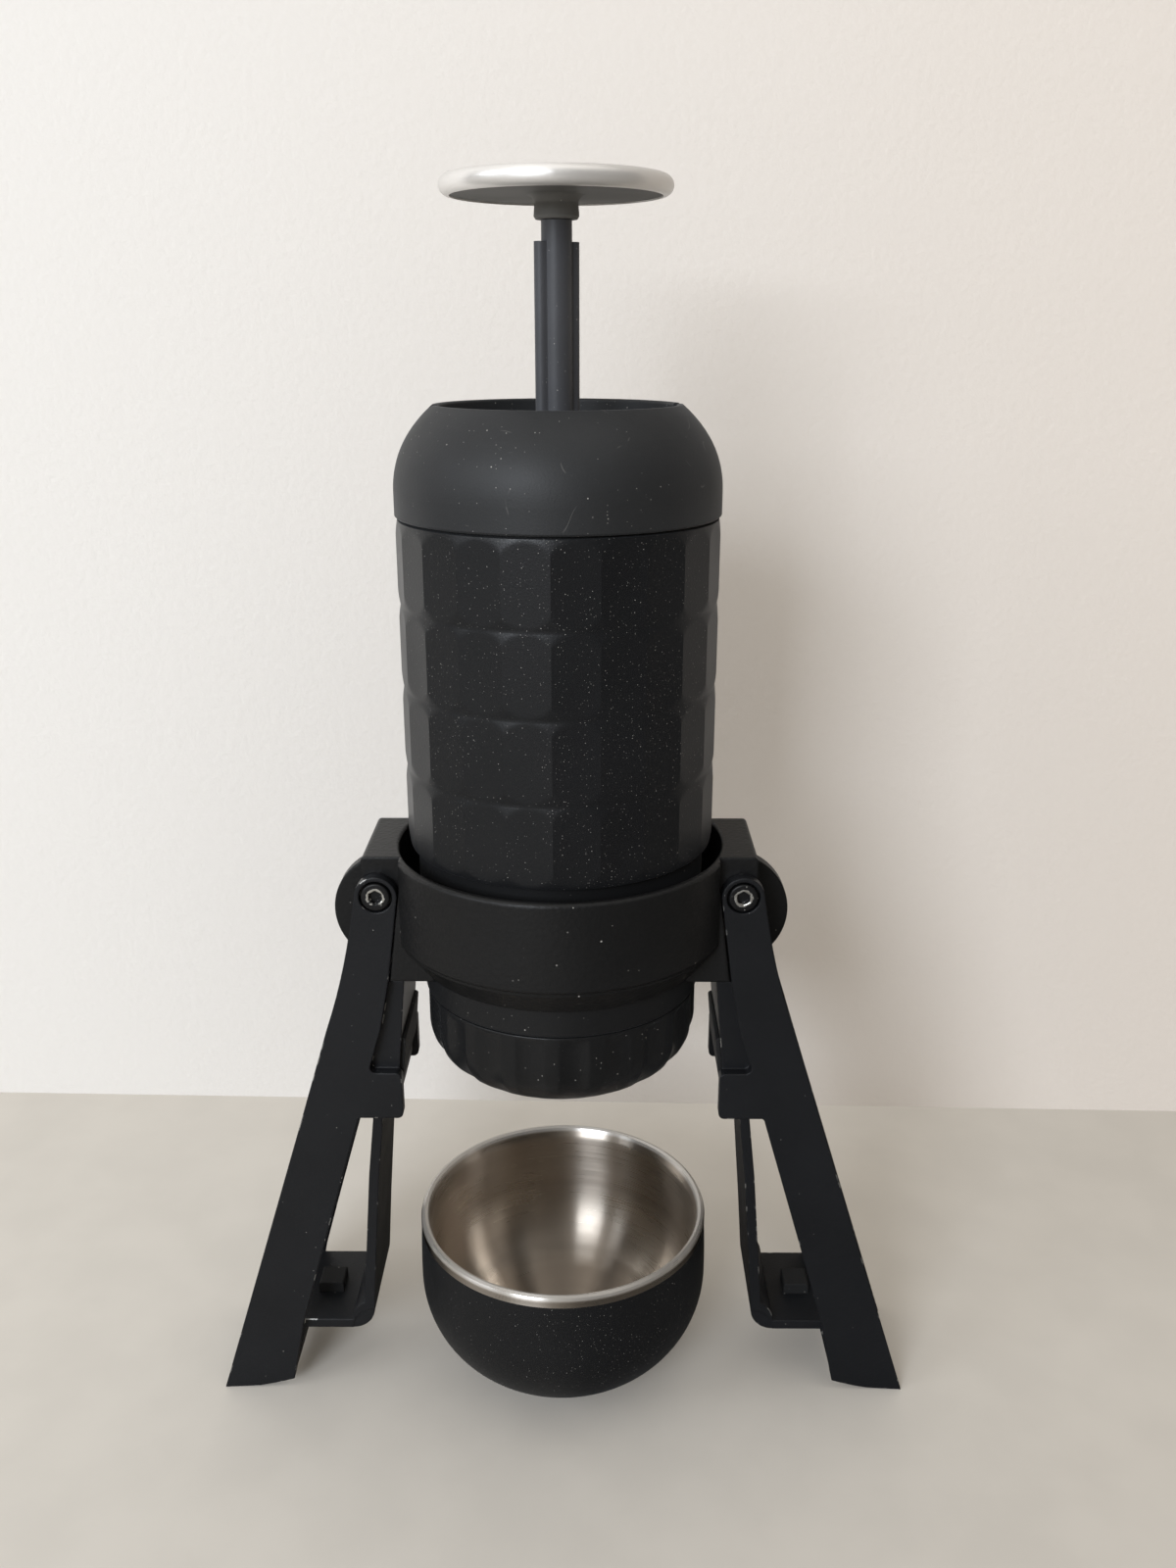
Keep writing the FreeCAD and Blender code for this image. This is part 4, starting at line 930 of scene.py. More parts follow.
class LatheTree:
    """A Geometry Nodes tree that turns the input section about Z and applies a radius rule.

    WELD, in metres, closes the seam and the poles. BORDER, as a share of a sector, keeps a
    column that lies on a sector's border on its further side.
    """

    WELD = 0.000002
    BORDER = 0.00001

    def __init__(self, name: str, extra: dict[str, tuple[str, object]],
                 rule: Callable[[Graph, bpy.types.Node, Socket, Socket, Socket], Socket]) -> None:
        """Builds the tree.

        Args:
            name: the tree's name.
            extra: the rule's own inputs.
            rule: from graph, inputs, radius, angle and height to the final radius.
        """
        inputs = {"Section": ("NodeSocketGeometry", None), "Segments": (INT, 96),
                  "Points": (INT, 10), "Sectors": (FLOAT, 1.0), "Start": (FLOAT, 0.0),
                  "Gather": (FLOAT, 0.0), "Shift": (VECTOR, (0.0, 0.0, 0.0)),
                  **extra, "Finish": ("NodeSocketMaterial", None)}
        graph, given, out = new_group(name, "GeometryNodeTree", inputs,
                                      {"Geometry": "NodeSocketGeometry"})
        self.graph, self.given, self.out = graph, given, out
        self.tree = graph.tree
        self.turned = self._turned(rule)

    def _turned(self, rule: Callable[..., Socket]) -> Socket:
        """Turns the section into a closed mesh.

        Args:
            rule: gives the final radius.

        Returns:
            The mesh.
        """
        graph, given = self.graph, self.given
        grid = graph.call("GeometryNodeMeshGrid", {
            "Size X": 1.0, "Size Y": 1.0,
            "Vertices X": graph.math("ADD", given.outputs["Segments"], 1.0),
            "Vertices Y": graph.math("ADD", given.outputs["Points"], 1.0)})
        position = graph.add("GeometryNodeInputPosition").outputs[0]
        around, along = (graph.math("ADD", place, 0.5) for place in graph.split(position)[:2])
        angle = self._angle(around)
        row = graph.math("ROUND", graph.product(along, given.outputs["Points"]))
        wrapped = graph.math("MODULO", row, given.outputs["Points"])
        sample = graph.call("GeometryNodeSampleIndex", {
            "Geometry": given.outputs["Section"], "Value": position, "Index": wrapped},
            data_type="FLOAT_VECTOR", domain="POINT")
        radius, _, height = graph.split(sample.outputs[0])
        final = rule(graph, given, radius, angle, height)
        spot = graph.join(graph.product(final, graph.math("COSINE", angle)),
                          graph.product(final, graph.math("SINE", angle)), height)
        placed = graph.call("GeometryNodeSetPosition", {
            "Geometry": grid.outputs["Mesh"], "Position": spot, "Offset": given.outputs["Shift"]})
        closed = graph.call("GeometryNodeMergeByDistance", {
            "Geometry": placed.outputs[0], "Distance": self.WELD})
        return closed.outputs[0]

    def _angle(self, around: Socket) -> Socket:
        """Spreads the columns over equal sectors, closer together at the sectors' borders.

        Args:
            around: share of a full turn.

        Returns:
            The angle, in radians.
        """
        graph, given = self.graph, self.given
        turns = graph.product(around, given.outputs["Sectors"])
        sector = graph.math("FLOOR", graph.math("ADD", turns, self.BORDER))
        within = graph.math("SUBTRACT", turns, sector)
        wave = graph.math("COSINE", graph.product(within, math.pi))
        eased = graph.product(graph.math("SUBTRACT", 1.0, wave), 0.5)
        spread = graph.math("ADD", sector, graph.between(given.outputs["Gather"], within, eased))
        width = graph.math("DIVIDE", 2.0 * math.pi, given.outputs["Sectors"])
        return graph.math("ADD", graph.product(spread, width), given.outputs["Start"])

    def finish(self, geometry: Socket) -> "LatheTree":
        """Ends the tree in Realize Instances and Set Material.

        Args:
            geometry: what the tree gives.

        Returns:
            The tree itself.
        """
        real = self.graph.call("GeometryNodeRealizeInstances", {"Geometry": geometry})
        smooth = self.graph.call("GeometryNodeSetShadeSmooth", {"Geometry": real.outputs[0]})
        dressed = self.graph.call("GeometryNodeSetMaterial", {
            "Geometry": smooth.outputs[0], "Material": self.given.outputs["Finish"]})
        self.graph.feed(self.out.inputs["Geometry"], dressed.outputs[0])
        return self

    def make(self, name: str, section: Iterable[Point], values: dict[str, object],
             crease: float = 32.0) -> bpy.types.Object:
        """Runs the tree on a section and keeps the result as a plain mesh.

        Args:
            name: the piece's name.
            section: closed section (radius, height), in millimetres.
            values: the tree's inputs by name.
            crease: edges sharper than this many degrees stay sharp.

        Returns:
            The finished object, at the origin.
        """
        points = [(radius * MM, 0.0, height * MM) for radius, height in section]
        seed = bpy.data.meshes.new(f"{name}_section")
        edges = [(index, (index + 1) % len(points)) for index in range(len(points))]
        seed.from_pydata(points, edges, [])
        carrier = add_to_scene(f"{name}_carrier", seed)
        modifier = carrier.modifiers.new("turning", "NODES")
        modifier.node_group = self.tree
        sockets = {item.name: item.identifier for item in self.tree.interface.items_tree
                   if item.item_type == "SOCKET" and item.in_out == "INPUT"}
        for label, value in {"Points": len(points), **values}.items():
            modifier[sockets[label]] = value
        depsgraph = bpy.context.evaluated_depsgraph_get()
        mesh = bpy.data.meshes.new_from_object(carrier.evaluated_get(depsgraph))
        carrier.modifiers.clear()
        bpy.data.objects.remove(carrier)
        mesh.name = name
        if signed_volume(mesh) < 0:
            mesh.flip_normals()
        mesh.set_sharp_from_angle(angle=math.radians(crease))
        return add_to_scene(name, mesh)


def signed_volume(mesh: bpy.types.Mesh) -> float:
    """Volume inside a closed mesh, negative if its faces point inwards.

    Args:
        mesh: the mesh.

    Returns:
        The volume.
    """
    total = 0.0
    mesh.calc_loop_triangles()
    for triangle in mesh.loop_triangles:
        first, second, third = (mesh.vertices[index].co for index in triangle.vertices)
        total += first.dot(second.cross(third)) / 6.0
    return total


def within_sector(graph: Graph, angle: Socket, count: object, phase: object) -> Socket:
    """Angle from the middle of the sector that it falls in.

    Args:
        graph: the tree's graph.
        angle: the angle, in radians.
        count: number of equal sectors.
        phase: where a sector's middle lies, in radians.

    Returns:
        The local angle.
    """
    width = graph.math("DIVIDE", 2.0 * math.pi, count)
    half = graph.product(width, 0.5)
    shifted = graph.math("ADD", graph.math("SUBTRACT", angle, phase), half)
    return graph.math("SUBTRACT", graph.math("FLOORED_MODULO", shifted, width), half)


def facet_rule(graph: Graph, given: bpy.types.Node, radius: Socket, angle: Socket,
               height: Socket) -> Socket:
    """Cuts the outer wall to flats with softened edges.

    Args:
        graph: the tree's graph.
        given: the tree's inputs.
        radius: the section's radius.
        angle: the angle round the axis.
        height: the height, not needed.

    Returns:
        The final radius.
    """
    local = within_sector(graph, angle, given.outputs["Facets"], given.outputs["Phase"])
    flat = graph.math("DIVIDE", given.outputs["Apothem"], graph.math("COSINE", local))
    cut = graph.math("SMOOTH_MIN", radius, flat, given.outputs["Softness"])
    outer = graph.math("GREATER_THAN", radius, given.outputs["Outer From"])
    return graph.between(outer, radius, cut)


def flute_rule(graph: Graph, given: bpy.types.Node, radius: Socket, angle: Socket,
               height: Socket) -> Socket:
    """Cuts hollow flutes with round lower ends into the outer wall.

    Args:
        graph: the tree's graph.
        given: the tree's inputs.
        radius: the section's radius.
        angle: the angle round the axis.
        height: the height.

    Returns:
        The final radius.
    """
    local = within_sector(graph, angle, given.outputs["Flutes"], given.outputs["Phase"])
    half = graph.product(given.outputs["Width"], 0.5)
    across = graph.product(local, radius)
    round_end = graph.math("ADD", given.outputs["Bottom"], half)
    below = graph.math("MAXIMUM", graph.math("SUBTRACT", round_end, height), 0.0)
    share = graph.math("DIVIDE", graph.squares(across, below), graph.math("POWER", half, 2.0))
    inside = graph.math("SUBTRACT", 1.0, share)
    hollow = graph.math("SMOOTH_MAX", inside, 0.0, given.outputs["Blend"])
    full = graph.math("SUBTRACT", given.outputs["Top"], given.outputs["Run Out"])
    run_out = graph.step(height, given.outputs["Top"], full)
    outer = graph.math("GREATER_THAN", radius, given.outputs["Outer From"])
    depth = graph.product(hollow, run_out, given.outputs["Depth"], outer)
    return graph.math("SUBTRACT", radius, depth)


def plain_rule(graph: Graph, given: bpy.types.Node, radius: Socket, angle: Socket,
               height: Socket) -> Socket:
    """Leaves a turned section as it is.

    Args:
        graph: the tree's graph, not needed.
        given: the tree's inputs, not needed.
        radius: the section's radius.
        angle: the angle round the axis, not needed.
        height: the height, not needed.

    Returns:
        The radius.
    """
    return radius


def key_hole_rule(graph: Graph, given: bpy.types.Node, radius: Socket, angle: Socket,
                  height: Socket) -> Socket:
    """Gives the turned key hole of a screw its flat sides.

    Args:
        graph: the tree's graph.
        given: the tree's inputs.
        radius: the section's radius.
        angle: the angle round the axis.
        height: the height, not needed.

    Returns:
        The final radius.
    """
    local = within_sector(graph, angle, given.outputs["Key Sides"], 0.0)
    wide = graph.math("DIVIDE", radius, graph.math("COSINE", local))
    keyed = graph.math("LESS_THAN", radius, given.outputs["Key Within"])
    return graph.between(keyed, radius, wide)


# ---------------------------------------------------------------- sub-assemblies
@dataclass
class Plunger:
    """Knob, stem and piston, which move up and down together."""

    effects: Effects

    def dress(self) -> None:
        """Gives the plunger's pieces their finishes."""
        dress(Finish.KNOB.material(self.effects), "knob_cap")
        dress(Finish.KNOB_BASE_PAINTED_REFLECTION.material(self.effects), "knob_base")
        dress(Finish.STEM.material(self.effects), "plunger_stem")
        dress(Finish.INNER.material(self.effects), "piston")
        dress(Finish.SEAL.material(self.effects), "piston_seals")
        dress(Finish.INNER_STEEL.material(self.effects), "piston_screw")


@dataclass
class TopCover:
    """Domed cover with the pump that hangs under it."""

    effects: Effects

    def dress(self) -> None:
        """Gives the cover's pieces their finishes."""
        dress(Finish.DOME.material(self.effects), "dome_cover")
        dress(Finish.INNER.material(self.effects), "stem_bush", "pump_cylinder")
        dress(Finish.SEAL.material(self.effects), "cover_seal", "inlet_flap")
        dress(Finish.INNER_STEEL.material(self.effects), "cylinder_screws")


@dataclass
class TankBody:
    """Faceted outer shell round the water tank, in millimetres."""

    effects: Effects
    facets: int = 22
    rows: int = 4
    apothem: float = 37.4
    phase: float = 7.0
    valley: float = 37.32
    crown: float = 37.86
    row_base: float = 158.2
    row_pitch: float = 19.6
    dip: float = 5.4
    curve: float = 27.0
    bottom: float = 158.0
    bore: float = 35.6
    ledge: float = 229.2
    lining: float = 34.6
    foot_bore: float = 33.6
    foot_height: float = 3.0
    foot_inset: float = 0.2
    softness: float = 0.03
    skin: float = 0.5
    spacing: float = 4.0
    skin_spacing: float = 0.55
    columns: int = 18

    def section(self) -> list[Point]:
        """The turned section: inner steps, then four bulging rows outside.

        Returns:
            The section's points, in millimetres.
        """
        foot = self.bottom + self.foot_height
        top = self.row_base + self.row_pitch * self.rows
        vertices: list[Vertex] = [
            (self.bore, top), (self.bore, self.ledge), (self.lining, self.ledge),
            (self.lining, foot), (self.foot_bore, foot), (self.foot_bore, self.bottom),
            (self.valley - self.foot_inset, self.bottom), (self.valley, self.row_base)]
        for row in range(self.rows):
            low = self.row_base + self.row_pitch * row
            high = low + self.row_pitch
            vertices += [(self.crown, low + self.dip, self.curve), (self.crown, high - self.dip),
                         (self.valley, high, self.curve)]
        return section_points(vertices, self.spacing, self.bore + self.skin, self.skin_spacing)

    def build(self) -> bpy.types.Object:
        """Makes the shell.

        Returns:
            The shell's object.
        """
        tree = LatheTree("faceted_wall", {
            "Facets": (FLOAT, 22.0), "Apothem": (FLOAT, 0.037), "Phase": (FLOAT, 0.0),
            "Softness": (FLOAT, 0.0003), "Outer From": (FLOAT, 0.03)}, facet_rule)
        tree.finish(tree.turned)
        edge, half = math.radians(self.phase), math.pi / self.facets
        shell = tree.make("faceted_shell", self.section(), {
            "Segments": self.facets * self.columns, "Sectors": float(self.facets), "Start": edge,
            "Gather": 1.0, "Facets": float(self.facets), "Apothem": self.apothem * MM,
            "Phase": edge + half, "Softness": self.softness * MM,
            "Outer From": (self.bore + self.skin) * MM,
            "Finish": Finish.SHELL.material(self.effects)})
        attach(shell, "brewer")
        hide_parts("body_shell")
        return shell

    def dress(self) -> None:
        """Gives the tank's inner sleeve its finish."""
        dress(Finish.INNER_STEEL.material(self.effects), "tank_liner")


@dataclass
class BrewHead:
    """Head with the check valve, screen and gasket, seated in the ring."""

    effects: Effects

    def dress(self) -> None:
        """Gives the head's pieces their finishes."""
        dress(Finish.HEAD.material(self.effects), "brew_head")
        dress(Finish.INNER.material(self.effects), "valve_seat")
        dress(Finish.INNER_STEEL.material(self.effects), "valve_ball", "valve_spring",
              "shower_screen")
        dress(Finish.SEAL.material(self.effects), "basket_gasket")


@dataclass
class OutletCap:
    """Fluted screw cap with the filter basket and the outlet nozzle, in millimetres."""

    effects: Effects
    flutes: int = 20
    phase: float = 6.4
    width: float = 7.2
    depth: float = 0.75
    radius: float = 34.6
    top: float = 118.8
    bottom: float = 96.6
    curve_top: float = 110.1
    curve_radius: float = 13.55
    base_radius: float = 19.2
    wall: float = 2.2
    bore: float = 31.7
    drain: float = 4.2
    holder: float = 28.2
    holder_top: float = 128.5
    holder_wall: float = 1.6
    holder_outer_foot: float = 103.3
    holder_inner_foot: float = 101.8
    floor_inset: float = 1.0
    rim_round: float = 0.3
    blend: float = 0.12
    flute_below_rim: float = 0.4
    flute_run_out: float = 1.2
    flute_above_base: float = 1.6
    smooth_reach: float = 2.0
    spacing: float = 0.9
    columns: int = 24

    def section(self) -> list[Point]:
        """The turned section of bowl and basket holder.

        Returns:
            The section's points, in millimetres.
        """
        floor, rim = self.bottom + self.wall, self.rim_round
        holder_bore = self.holder - self.holder_wall
        return section_points([
            (self.drain, self.bottom), (self.base_radius, self.bottom),
            (self.radius, self.curve_top, self.curve_radius), (self.radius, self.top - rim),
            (self.radius - rim, self.top, rim), (self.bore, self.top), (self.bore, self.curve_top),
            (self.holder, self.holder_outer_foot), (self.holder, self.holder_top),
            (holder_bore, self.holder_top), (holder_bore, self.holder_inner_foot),
            (self.base_radius - self.floor_inset, floor), (self.drain, floor)], self.spacing)

    def build(self) -> bpy.types.Object:
        """Makes the fluted bowl.

        Returns:
            The bowl's object.
        """
        tree = LatheTree("fluted_wall", {
            "Flutes": (FLOAT, 20.0), "Phase": (FLOAT, 0.0), "Width": (FLOAT, 0.007),
            "Depth": (FLOAT, 0.0008), "Blend": (FLOAT, 0.1), "Top": (FLOAT, 0.118),
            "Run Out": (FLOAT, 0.0012), "Bottom": (FLOAT, 0.098), "Outer From": (FLOAT, 0.02)},
            flute_rule)
        tree.finish(tree.turned)
        bowl = tree.make("fluted_bowl", self.section(), {
            "Segments": self.flutes * self.columns, "Flutes": float(self.flutes),
            "Phase": math.radians(self.phase - 90.0), "Width": self.width * MM,
            "Depth": self.depth * MM, "Blend": self.blend,
            "Top": (self.top - self.flute_below_rim) * MM, "Run Out": self.flute_run_out * MM,
            "Bottom": (self.bottom + self.flute_above_base) * MM,
            "Outer From": (self.base_radius + self.smooth_reach) * MM,
            "Finish": Finish.BOWL.material(self.effects)})
        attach(bowl, "coffee_cap")
        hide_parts("outlet_cap")
        return bowl

    def dress(self) -> None:
        """Gives the cap's inner pieces their finishes."""
        dress(Finish.INNER_STEEL.material(self.effects), "filter_basket")
        dress(Finish.BOWL.material(self.effects), "spout_insert")


@dataclass
class Stand:
    """Ring with its two hinges and their screws, in millimetres."""

    effects: Effects
    pivot_x: float = 44.6
    pivot_z: float = 147.5
    head_seat: float = 15.5
    head_height: float = 1.9
    head_radius: float = 3.5
    key: float = 3.0
    key_depth: float = 1.3
    shank: float = 1.95
    shank_end: float = 5.0
    head_round: float = 0.35
    mouth_width: float = 0.22
    mouth_depth: float = 0.2
    key_sides: int = 6
    key_reach: float = 0.25
    spacing: float = 0.8
    segments: int = 72
    crease: float = 40.0
    edge_round: float = 0.7

    def section(self) -> list[Point]:
        """Section of a socket-head screw, its axis up and its head on top.

        Returns:
            The section's points, in millimetres.
        """
        top, flat = self.head_seat + self.head_height, self.key / 2
        return section_points([
            (0.0, self.shank_end), (self.shank, self.shank_end), (self.shank, self.head_seat),
            (self.head_radius, self.head_seat), (self.head_radius, top - self.head_round),
            (self.head_radius - self.head_round, top, self.head_round),
            (flat + self.mouth_width, top), (flat, top - self.mouth_depth),
            (flat, top - self.key_depth), (0.0, top - self.key_depth)], self.spacing)

    def screw_tree(self) -> LatheTree:
        """The tree that makes one screw and puts it at the front and the back of a hinge.

        Returns:
            The tree.
        """
        tree = LatheTree("hinge_screws", {
            "Key Sides": (FLOAT, 6.0), "Key Within": (FLOAT, 0.0018),
            "Pivot": (VECTOR, (0.0, 0.0, 0.0))}, key_hole_rule)
        graph = tree.graph
        sides = graph.call("GeometryNodeMeshLine", {"Count": 2, "Offset": (0.0, 0.0, 0.0)})
        index = graph.add("GeometryNodeInputIndex").outputs[0]
        tilt = graph.math("SUBTRACT", math.pi / 2, graph.product(index, math.pi))
        placed = graph.call("GeometryNodeSetPosition", {
            "Geometry": sides.outputs[0], "Position": tree.given.outputs["Pivot"]})
        pair = graph.call("GeometryNodeInstanceOnPoints", {
            "Points": placed.outputs[0], "Instance": tree.turned,
            "Rotation": graph.join(tilt, 0.0, 0.0)})
        return tree.finish(pair.outputs[0])

    def build(self) -> list[bpy.types.Object]:
        """Makes the four hinge screws, a pair for each side.

        Returns:
            The two pairs.
        """
        tree, finish = self.screw_tree(), ScrewFinish().build(self.effects)
        pairs = []
        for side, sign in (("left", -1.0), ("right", 1.0)):
            pair = tree.make(f"{side}_hinge_screws", self.section(), {
                "Segments": self.segments, "Key Sides": float(self.key_sides),
                "Key Within": (self.key / 2 + self.key_reach) * MM,
                "Pivot": (sign * self.pivot_x * MM, 0.0, self.pivot_z * MM),
                "Finish": finish}, crease=self.crease)
            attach(pair, "stand")
            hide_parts(f"{side}_pivot_screws")
            pairs.append(pair)
        return pairs

    def dress(self) -> None:
        """Gives the ring and the hinge sleeves their finishes."""
        dress(Finish.RING.material(self.effects), "stand_ring")
        soften(self.edge_round, "stand_ring")
        dress(Finish.INNER_STEEL.material(self.effects), "left_pivot_barrel",
              "right_pivot_barrel")


@dataclass
class Leg:
    """One folding leg with its pad and block, in millimetres."""

    effects: Effects
    side: str
    corner: Point = (51.4, 18.0)
    corner_radius: float = 6.0
    overlap: float = 0.4
    half_width: float = 14.3
    arc_steps: int = 12
    hidden_steps: int = 10
    crease: float = 35.0
    edge_round: float = 0.5

    def corner_outline(self) -> list[Point]:
        """Outline of the rounded outer corner between the leg's strut and its shelf.

        Returns:
            The outline's points, in the plane of the leg.
        """
        face, base = -self.corner[0], self.corner[1]
        foot, head = (face - self.corner_radius, base), (face, base + self.corner_radius)
        start, end = (foot[0] - self.overlap, base), (face, head[1] + self.overlap)
        rounded = arc_points(foot, head, self.corner_radius, self.arc_steps)
        hidden = arc_points(end, start, self.corner_radius + self.overlap, self.hidden_steps)
        outline = [start, foot, *rounded, end, *hidden[:-1]]
        turn = 1.0 if self.side == "left" else -1.0
        return [(turn * x, z) for x, z in outline]

    def build(self) -> bpy.types.Object:
        """Makes the rounded corner, which lies against the leg's hollow one.

        Returns:
            The corner's object.
        """
        outline = self.corner_outline()
        count = len(outline)
        corners = [(x * MM, y * MM, z * MM) for y in (-self.half_width, self.half_width)
                   for x, z in outline]
        faces = [(k, (k + 1) % count, (k + 1) % count + count, k + count) for k in range(count)]
        mesh = bpy.data.meshes.new(f"{self.side}_shelf_corner")
        mesh.from_pydata(corners, [], [*faces, tuple(range(count)), tuple(range(count, 2 * count))])
        for polygon in mesh.polygons:
            polygon.use_smooth = len(polygon.vertices) == 4
        solid = bmesh.new()
        solid.from_mesh(mesh)
        bmesh.ops.recalc_face_normals(solid, faces=solid.faces)
        bmesh.ops.triangulate(solid, faces=[face for face in solid.faces if len(face.verts) > 4])
        for edge in solid.edges:
            edge.smooth = edge.calc_face_angle(0.0) <= math.radians(self.crease)
        solid.to_mesh(mesh)
        solid.free()
        mesh.materials.append(Finish.LEG.material(self.effects))
        piece = add_to_scene(mesh.name, mesh)
        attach(piece, f"{self.side}_leg")
        return piece

    def dress(self) -> None:
        """Gives the leg's pieces their finishes."""
        dress(Finish.LEG.material(self.effects), f"{self.side}_leg")
        soften(self.edge_round, f"{self.side}_leg")
        dress(Finish.PAD.material(self.effects), f"{self.side}_leg_pad",
              f"{self.side}_shelf_block")


@dataclass
class Cup:
    """Double-wall cup: black bowl and spun steel liner, in millimetres."""

    effects: Effects
    centre_y: float = -2.0
    radius: float = 39.2
    rim_radius: float = 38.9
    rim_inset: float = 0.1
    height: float = 49.6
    lip: float = 46.6
    shoulder: float = 31.0
    base_radius: float = 16.0
    wall: float = 1.4
    rim_round: float = 1.05
    liner_wall: float = 0.7
    liner_underside: tuple[Vertex, ...] = ((0.0, 3.0), (17.4, 3.0), (27.8, 12.2, 60.0))
    liner_inside: tuple[Vertex, ...] = ((27.2, 12.8, -25.0), (17.0, 3.8, -59.0), (0.0, 3.8))
    liner_curve: float = 26.0
    bowl_foot: Vertex = (1.3, 0.8, 1.6)
    bowl_outside: Vertex = (30.0, 10.5, 113.0)
    bowl_inside: Vertex = (29.2, 11.8, -26.1)
    bowl_floor: Vertex = (2.0, -111.6)
    bowl_curve: float = 27.5
    bowl_side: float = 260.0
    liner_spacing: float = 0.9
    bowl_spacing: float = 1.2
    segments: int = 160

    def liner_section(self) -> list[Point]:
        """Section of the liner with its rolled rim.

        Returns:
            The section's points, in millimetres.
        """
        inner = self.rim_radius - 2 * self.rim_round
        bore, rolled = inner - self.liner_wall, self.height - self.rim_round
        just_over_half = self.rim_round * 1.0001
        return section_points([
            *self.liner_underside, (inner, self.shoulder, self.liner_curve), (inner, self.lip),
            (self.rim_radius, self.lip), (self.rim_radius, rolled),
            (inner, rolled, just_over_half), (bore, self.lip), (bore, self.shoulder),
            *self.liner_inside], self.liner_spacing)

    def shell_section(self) -> list[Point]:
        """Section of the outer bowl.

        Returns:
            The section's points, in millimetres.
        """
        foot_reach, foot_height, foot_round = self.bowl_foot
        floor, floor_curve = self.bowl_floor
        return section_points([
            (0.0, 0.0), (self.base_radius, 0.0),
            (self.base_radius + foot_reach, foot_height, foot_round), self.bowl_outside,
            (self.radius, self.shoulder, self.bowl_curve),
            (self.rim_radius - self.rim_inset, self.lip, self.bowl_side),
            (self.rim_radius - self.wall, self.lip),
            (self.radius - self.wall, self.shoulder, -self.bowl_side), self.bowl_inside,
            (self.base_radius, floor, floor_curve), (0.0, floor)], self.bowl_spacing)

    def build(self) -> list[bpy.types.Object]:
        """Makes the bowl and the liner.

        Returns:
            The two pieces.
        """
        tree = LatheTree("cup_wall", {}, plain_rule)
        tree.finish(tree.turned)
        pieces = []
        for name, node, section, finish, slot in (
                ("coated_bowl", "cup_shell", self.shell_section(), Finish.CUP, "cup_coat"),
                ("spun_liner", "cup_liner", self.liner_section(), Finish.LINER, "cup_steel")):
            piece = tree.make(name, section, {
                "Segments": self.segments, "Shift": (0.0, self.centre_y * MM, 0.0),
                "Finish": finish.material(self.effects)})
            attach(piece, "cup")
            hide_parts(node)
            pieces.append(piece)
        return pieces


# ---------------------------------------------------------------- studio
@dataclass(frozen=True)
class Lamp:
    """One soft square lamp, in metres and watts."""

    name: str
    place: Place
    size: float
    power: float
    colour: Colour = (0.92, 0.98, 1.06)
    aim: Place = (0.0, 0.0, 0.15)

    def build(self) -> bpy.types.Object:
        """Makes the lamp, aimed at the middle of the object.

        Returns:
            The lamp.
        """
        data = bpy.data.lights.new(self.name, "AREA")
        data.shape = "SQUARE"
        data.size, data.energy, data.color = self.size, self.power, self.colour
        lamp = add_to_scene(self.name, data)
        lamp.location = self.place
        beam = Vector(self.aim) - Vector(self.place)
        lamp.rotation_euler = beam.to_track_quat("-Z", "Y").to_euler()
        return lamp


